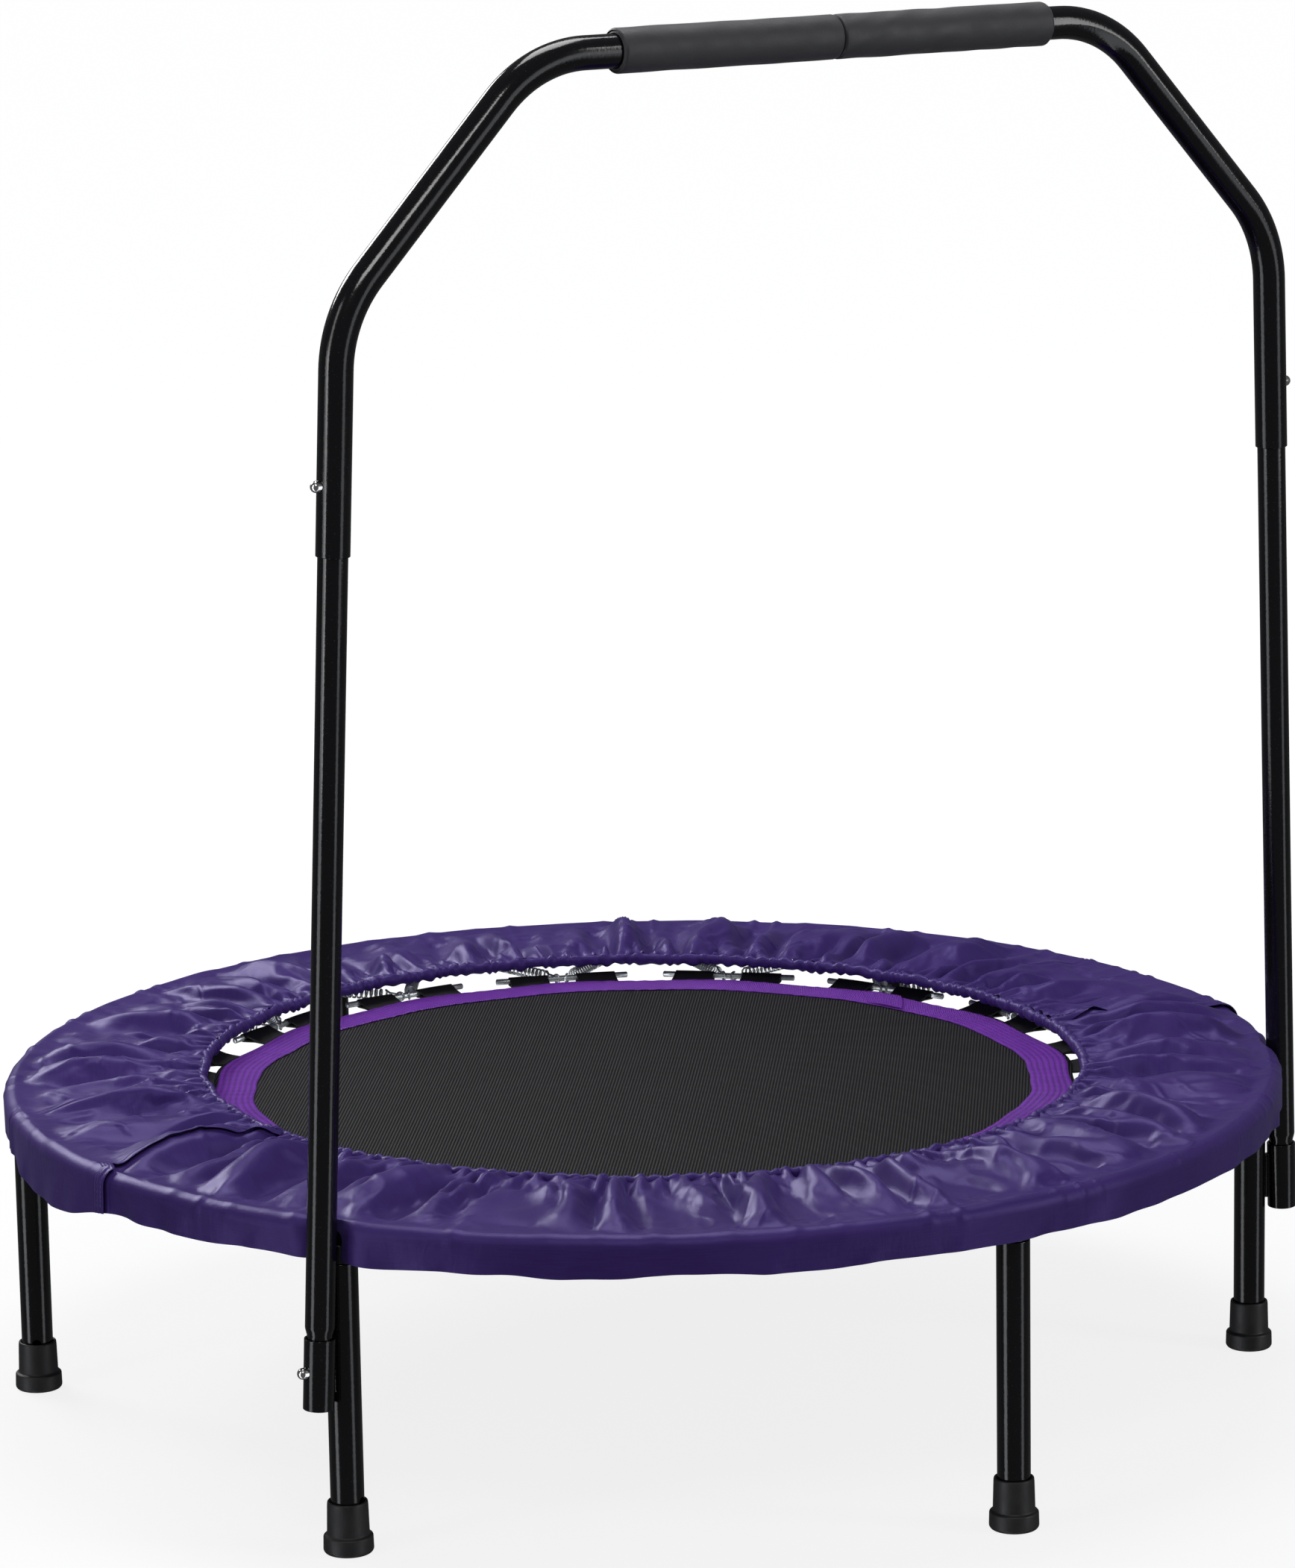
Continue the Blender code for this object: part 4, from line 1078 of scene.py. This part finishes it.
# ---------------------------------------------------------------- spring cover

def hem_radius(theta):
    """The opening is a little narrower along the fold line than across it."""
    return HEM_RADIUS - HEM_NARROWER * np.cos(2 * theta)


def cover_profile():
    """Radius and height of the cover's rows, hem first, before any fold."""
    shares = np.linspace(0, 1, TOP_ROWS)
    radius = HEM_RADIUS + (RIM_RADIUS - HEM_RADIUS) * shares
    height = HEM_Z * (1 - shares) + COVER_EDGE_Z * shares + 0.0030 * np.sin(math.pi * shares)
    bend = COVER_OUTER - RIM_RADIUS
    turn = np.linspace(0, math.pi / 2, RIM_ROWS + 1)[1:]
    radius = np.concatenate([radius, RIM_RADIUS + bend * np.sin(turn),
                             np.full(SKIRT_ROWS, COVER_OUTER)])
    height = np.concatenate([height, COVER_EDGE_Z - bend * (1 - np.cos(turn))])
    drop = np.linspace(height[-1], SKIRT_BOTTOM, SKIRT_ROWS + 1)[1:]
    return radius, np.concatenate([height, drop])


def puffs(theta, count, seed):
    """Uneven rounded crests with narrow valleys between them, from about -0.6 to 0.4."""
    phase = count * theta / 2 + 0.75 * waves(theta, count / 2.4, seed, 0.35)
    size = 1 + 0.45 * waves(theta, count / 3.1, seed + 40, 0.4)
    return (np.sqrt(np.sin(phase) ** 2 + 0.012) - 0.63) * size


def cover_start(theta):
    """The gathered sheet: a cascade of folds, finest at the hem, sized by the spare cloth."""
    radius, height = cover_profile()
    rows = len(radius)
    share = np.clip((radius - HEM_RADIUS) / (RIM_RADIUS - HEM_RADIUS), 0, 1)[:, None]
    top = (np.arange(rows) < TOP_ROWS)[:, None]
    lean = 0.075 * waves(theta, 7, 20) * share + 0.030 * waves(theta, 21, 21) * np.sin(
        math.pi * share)
    turned_to = theta + lean * top
    surplus = np.sqrt(np.maximum(COVER_OUTER / radius - 1, 0))[:, None]
    lift = np.zeros((rows, len(theta)))
    for count, size, (begin, full, fade, end), seed in FOLD_BANDS:
        window = smooth(share, begin, full) * (1 - smooth(share, fade, end))
        width = TURN * radius[:, None] / count
        lift += window * size * width / math.pi * surplus * 2.5 * puffs(turned_to, count, seed)
    pinch = waves(turned_to, 95, 27) * smooth(waves(theta, 30, 28), 0.1, 0.7)
    lift += 0.0012 * pinch * smooth(share, 0.72, 0.95) * (1 - 0.6 * smooth(share, 0.97, 1.0))
    reach = radius[:, None] + (hem_radius(theta) - HEM_RADIUS) * (1 - share)
    return on_ring(reach, theta + 0.25 * lean * top, height[:, None] + lift * top)


def simulated(grid):
    """Relax the gathered strip: its rest shape is a plain cylinder as wide as the rim."""
    rows, columns = grid.shape[:2]
    obj = mesh_object("cover_cloth", (grid.reshape(-1, 3), quads(rows, columns, False, True),
                                      None), None)
    radius, height = cover_profile()
    down = summed(np.hypot(np.diff(radius), np.diff(height))) * 1.01
    theta = np.arange(columns) * TURN / columns
    rest = on_ring((radius * 0.35 + COVER_OUTER * 0.65)[:, None], theta, down[:, None])
    obj.shape_key_add(name="Basis")
    key = obj.shape_key_add(name="rest")
    key.data.foreach_set("co", rest.reshape(-1).astype(np.float32))
    key.value = 0
    pins = obj.vertex_groups.new(name="pins")
    pins.add([*range(columns), *range((TOP_ROWS - 1) * columns, rows * columns)], 1.0, "REPLACE")
    cloth = obj.modifiers.new("cloth", "CLOTH")
    cloth.settings.vertex_group_mass = "pins"
    cloth.settings.rest_shape_key = key
    for setting, value in CLOTH.items():
        setattr(cloth.settings, setting, value)
    cloth.settings.effector_weights.gravity = 0.3
    cloth.collision_settings.use_collision = False
    cloth.point_cache.frame_start, cloth.point_cache.frame_end = 1, SIMULATED_FRAMES
    scene = bpy.context.scene
    scene.frame_start, scene.frame_end = 1, SIMULATED_FRAMES
    for number in range(1, SIMULATED_FRAMES + 1):
        scene.frame_set(number)
    mesh = obj.evaluated_get(bpy.context.evaluated_depsgraph_get()).data
    result = np.empty(len(mesh.vertices) * 3, np.float32)
    mesh.vertices.foreach_get("co", result)
    scene.frame_set(1)
    bpy.data.objects.remove(obj, do_unlink=True)
    return result.reshape(rows, columns, 3).astype(float)


def capped(grid, start):
    """Keep every simulated point within reach of where it started."""
    move = grid - start
    size = np.linalg.norm(move, axis=-1)[..., None]
    return start + move * np.minimum(1, SIMULATED_REACH / np.maximum(size, 1e-9))


def finer_round(grid):
    """Twice as many columns, on a smooth curve through the old ones."""
    middle = (9 * (grid + np.roll(grid, -1, 1)) - np.roll(grid, 1, 1) - np.roll(grid, -2, 1)) / 16
    return np.stack([grid, middle], axis=2).reshape(grid.shape[0], -1, 3)


def finer_down(grid):
    """A row between each two rows, on a smooth curve through the old ones."""
    padded = np.concatenate([2 * grid[:1] - grid[1:2], grid, 2 * grid[-1:] - grid[-2:-1]])
    middle = (9 * (padded[1:-2] + padded[2:-1]) - padded[:-3] - padded[3:]) / 16
    out = np.empty((2 * len(grid) - 1, *grid.shape[1:]))
    out[::2], out[1::2] = grid, middle
    return out


def settle(grid):
    """Keep the cloth above the springs and over the ring, and shape the skirt."""
    radius = np.hypot(grid[..., 0], grid[..., 1])
    theta = np.arctan2(grid[..., 1], grid[..., 0])
    rows = np.arange(len(grid))[:, None]
    bracket = (np.abs(grid[..., 1]) < 0.04) & (radius > 0.472)
    low = np.where(bracket, 0.2532, np.where(radius > 0.474, 0.2514, 0.2484)) + 0.0006
    ease = 0.0007
    over = np.clip((grid[..., 2] - low) / ease, -40, 40)
    eased = low + np.log1p(np.exp(over)) * ease
    grid[..., 2] = np.where((rows < TOP_ROWS) & (rows > 1), eased, grid[..., 2])
    skirt = np.clip((rows - TOP_ROWS - RIM_ROWS + 1) / SKIRT_ROWS, 0, 1)
    degrees = np.degrees(theta) % 360
    pouch = (smooth(degrees, 160.5, 171) * (1 - smooth(degrees, 176, 186))
             + 0.5 * smooth(degrees, 342, 350) * (1 - smooth(degrees, 354, 360)))
    drop = 0.0010 * waves(theta, 17, 31) + 0.0005 * waves(theta, 50, 32)
    kinks = np.maximum(0, 1 - 2.5 * np.abs(waves(theta + 0.03 * skirt, 19, 81)))
    swell = 0.0011 * waves(theta, 26, 33) + 0.0008 * waves(theta, 62, 34) + 0.0012 * kinks
    grid[..., 2] += skirt * drop - skirt ** 1.3 * 0.0145 * pouch
    out = skirt * (swell - 0.0006) + 0.0016 * pouch * skirt
    grid[..., :2] *= (1 + out / radius)[..., None]
    return grid


def clear_of_posts(grid):
    """Dent the rim where the handle's posts stand against it."""
    for _, side in SIDES:
        matrix = post_frame(side)
        axis = np.array(matrix.to_3x3().col[2])
        local = grid - np.array(matrix.translation)
        local = local - (local @ axis)[..., None] * axis
        distance = np.linalg.norm(local, axis=-1)
        push = np.maximum((POST_RADIUS + 0.0016) * 1.25 - distance, 0) * 1.15
        spread = np.hanning(27) / np.hanning(27).sum() * 1.5
        half_way = push.shape[1] // 2
        eased = np.apply_along_axis(np.convolve, 1, np.roll(push, half_way, 1), spread, "same")
        push = np.maximum(push, np.roll(eased, -half_way, 1))
        grid = grid + unit(-grid * np.array([1, 1, 0])) * push[..., None]
    return grid


def hem_phase(theta):
    return HEM_RUFFLES * theta + 2.2 * waves(theta, 30, 22) + 1.1 * waves(theta, 77, 35)


def creases(theta, share, slant, around, seed):
    """Sharp ridges that wander across the cloth in patches."""
    at = theta + slant * share + 0.035 * np.sin(9 * share + 3 * waves(theta, 11, seed + 2))
    ridge = np.maximum(0, 1 - 2.2 * np.abs(waves(at, around, seed)))
    return ridge * smooth(waves(theta - slant * share, around * 0.6, seed + 1), -0.1, 0.7)


def ruffled(grid, normal):
    """Tight ruffles at the hem, crinkles and creases above them, and the seams' relief."""
    theta = np.arctan2(grid[..., 1], grid[..., 0])
    radius = np.hypot(grid[..., 0], grid[..., 1])
    rows, columns = grid.shape[:2]
    row, edge_row = np.arange(rows)[:, None], 2 * TOP_ROWS
    on_top = row < edge_row
    hem = hem_radius(theta)
    share = np.where(on_top, (radius - hem) / (RIM_RADIUS - hem), 1)
    ruffle = np.cos(hem_phase(theta)) * (1 + 0.3 * waves(theta, 60, 36))
    lift = 0.0017 * ruffle * (1 - smooth(share, 0.0, 0.15)) * smooth(share, -0.01, 0.02)
    lift += 0.0004 * waves(theta + 0.04 * share, 200, 37) * (1 - smooth(share, 0.1, 0.5))
    lift += 0.00022 * waves(theta - 0.05 * share, 130, 38) * (1 - smooth(share, 0.6, 0.95))
    near_rim = smooth(share, 0.62, 0.97) * (1 - 0.9 * smooth(row, edge_row, edge_row + 14))
    sharp = 0.45 - np.abs(np.sin(34 * theta + 1.5 * waves(theta, 24, 61)))
    lift += 0.0026 * np.maximum(sharp, -0.2) * near_rim * (0.6 + 0.5 * waves(theta, 26, 62))
    on_slope = smooth(share, 0.06, 0.2) * (1 - smooth(share, 0.86, 1.0)) * on_top
    for slant, around, seed in ((0.20, 38, 71), (-0.27, 30, 74), (0.05, 52, 77)):
        lift += 0.0012 * on_slope * creases(theta, share, slant, around, seed)
    clear_of_hem = smooth(share[:, 0], 0.02, 0.1)
    for degrees, way, relief in (
            (FLAP_LEFT_SEAM, 1, SEAM_RELIEF), (FLAP_RIGHT_SEAM, -1, SEAM_RELIEF),
            (FLAP_LEFT_SLIT, -1, SLIT_RELIEF), (FLAP_RIGHT_SLIT, 1, SLIT_RELIEF)):
        column = round(degrees / 360 * columns)
        for offset, size in relief:
            lift[:, (column + way * offset) % columns] += size * clear_of_hem
    return grid + normal * lift[..., None]


def ring_normals(grid):
    """Outward normals of a grid that closes on itself round the ring."""
    along = np.roll(grid, -1, 1) - np.roll(grid, 1, 1)
    return unit(np.cross(np.gradient(grid, axis=0), along))


def cover_grid():
    """The finished surface of the whole cover, as rows of points, with its normals."""
    start = cover_start(np.arange(COVER_COLUMNS) * TURN / COVER_COLUMNS)
    grid = capped(simulated(start), start)
    grid = finer_down(finer_round(finer_round(settle(grid))))
    grid = clear_of_posts(ruffled(grid, ring_normals(grid)))
    return grid, ring_normals(grid)


def cover_piece(grid, normal, first, last, lift_start=0.0, lift_end=0.0):
    """The columns from one angle to another, in degrees: points, cloth UVs and normals."""
    count = grid.shape[1]
    index = np.arange(round(first / 360 * count), round(last / 360 * count) + 1)
    facing = normal[:, index % count]
    share = np.linspace(0, 1, len(index))[None, :, None]
    piece = grid[:, index % count] + facing * (lift_start * (1 - share) ** 2
                                               + lift_end * share ** 2)
    down = summed(np.linalg.norm(np.diff(grid, axis=0), axis=-1).mean(axis=1))
    return piece, stacked(index * TURN / count * COVER_OUTER, down[:, None]), facing


def make_cover_sheet(node, cut, side):
    """One cloth of the cover, with its own normals on both faces."""
    piece, uvs, facing = (values[::-1] for values in cut)
    both = np.concatenate([facing.reshape(-1, 3), -facing.reshape(-1, 3)])
    sheet = mesh_object(f"{node}_cloth", slab(piece, uvs, COVER_CLOTH, facing), "nylon",
                        sharp=80, normals=both)
    fit(sheet, side, node)


def stitches(name, cut, column, side):
    """A line of threads along one column of the cloth, from the hem to the skirt's end."""
    line, normal = cut[0][:, column], cut[2][:, column]
    lengths = lengths_along(line)
    parts = []
    for start in np.arange(0.006, lengths[-1] - STITCH_PITCH, STITCH_PITCH):
        at = np.linspace(start, start + STITCH_LENGTH, 5)
        route, rise = (np.stack([np.interp(at, lengths, values[:, axis]) for axis in range(3)],
                                axis=1) for values in (line, normal))
        height = np.array([-0.2, 0.25, 0.35, 0.25, -0.2]) * STITCH_RISE
        parts.append(piped(route + rise * height[:, None], STITCH_RADIUS, 5))
    fit(closed_ends(name, joined(parts), "thread"), side)


def make_hem(half, side):
    """The scrunched elastic hem: a soft roll of uneven ruffles round the opening."""
    count = HEM_RUFFLES * 4
    theta = np.linspace(0, side * math.pi, count + 1)
    section = np.linspace(0, TURN, 15)[:-1][:, None]
    twist = 1.6 * waves(theta, 48, 41)[None] + 1.1 * np.cos(section + 0.8)
    uneven = waves(theta, 70, 46)[None]
    ridge = np.cos(hem_phase(theta)[None] + twist) * (1 + 0.4 * uneven)
    crumple = waves(theta, 160, 42)[None] * np.sin(section + 1) + waves(theta, 110, 47)[None] * (
        np.cos(2 * section + 2 * uneven))
    swell = 1 + 0.17 * ridge + 0.10 * crumple + 0.08 * uneven
    centre_r = (hem_radius(theta) - 0.0012 + 0.0011 * waves(theta, 24, 43)
                + 0.0005 * waves(theta, 95, 44))
    centre_z = HEM_Z - 0.0024 + 0.0006 * waves(theta, 28, 45)
    radius = centre_r[None] + 0.0033 * swell * np.cos(section)
    height = np.maximum(centre_z[None] + 0.0047 * swell * np.sin(section), 0.2480)
    faces = quads(len(section), count + 1, True, False)
    if side > 0:
        faces = faces[:, ::-1]
    uvs = stacked(theta * COVER_OUTER, section * 0.004)
    hem = closed_ends(f"cover_hem_{half}", (on_ring(radius, theta, height).reshape(-1, 3), faces,
                                            uvs.reshape(-1, 2)), "nylon", 80)
    fit(hem, side)


def make_cover():
    """Rear sheet with a flap at each end that laps over the front sheet."""
    surface = cover_grid()
    rear = cover_piece(*surface, 0, 180)
    front = cover_piece(*surface, FLAP_LEFT_SLIT - FLAP_LAP, FLAP_RIGHT_SLIT + FLAP_LAP)
    left = cover_piece(*surface, 180, FLAP_LEFT_SLIT, 0, FLAP_LIFT)
    right = cover_piece(*surface, FLAP_RIGHT_SLIT, 360, FLAP_LIFT, 0)
    for node, cut, side in (("cover_rear", rear, 1), ("cover_front", front, -1),
                            ("cover_flap_left", left, -1), ("cover_flap_right", right, -1)):
        make_cover_sheet(node, cut, side)
    for half, side in HALVES:
        make_hem(half, side)
    last = left[0].shape[1] - 1
    for number, back in enumerate((2, 5, 8), start=1):
        stitches(f"cover_flap_left_stitches_{number}", left, last - back, -1)
        stitches(f"cover_flap_right_stitches_{number}", right, back, -1)
    columns = surface[0].shape[1]
    for name, degrees, way in (("left", FLAP_LEFT_SEAM, 1), ("right", FLAP_RIGHT_SEAM, -1)):
        for number, shift in enumerate((0, 3), start=1):
            stitches(f"cover_rear_seam_{name}_{number}", rear,
                     round(degrees / 360 * columns) + way * shift, 1)


# ---------------------------------------------------------------- build

def build():
    make_camera()
    make_studio()
    for half, side in HALVES:
        half_ring(half, side)
    for number, degrees in enumerate(LEG_ANGLES, start=1):
        make_leg(number, degrees)
    make_bar()
    for end, side in SIDES:
        make_socket(end, side)
        make_post(end, side)
        make_grip(end, side)
        make_hinge(end, side)
        for level in BUTTONS:
            make_button(level, end, side)
        make_fold_set(end, side)
    for half, side in HALVES:
        make_mat(half, side)
        make_band(half, side)
        for number in half_rods(side):
            step = number if side > 0 else -(number - 7)
            make_spring_set(number, step * TURN / ROD_COUNT, half)
    make_tape_end()
    make_cover()


build()
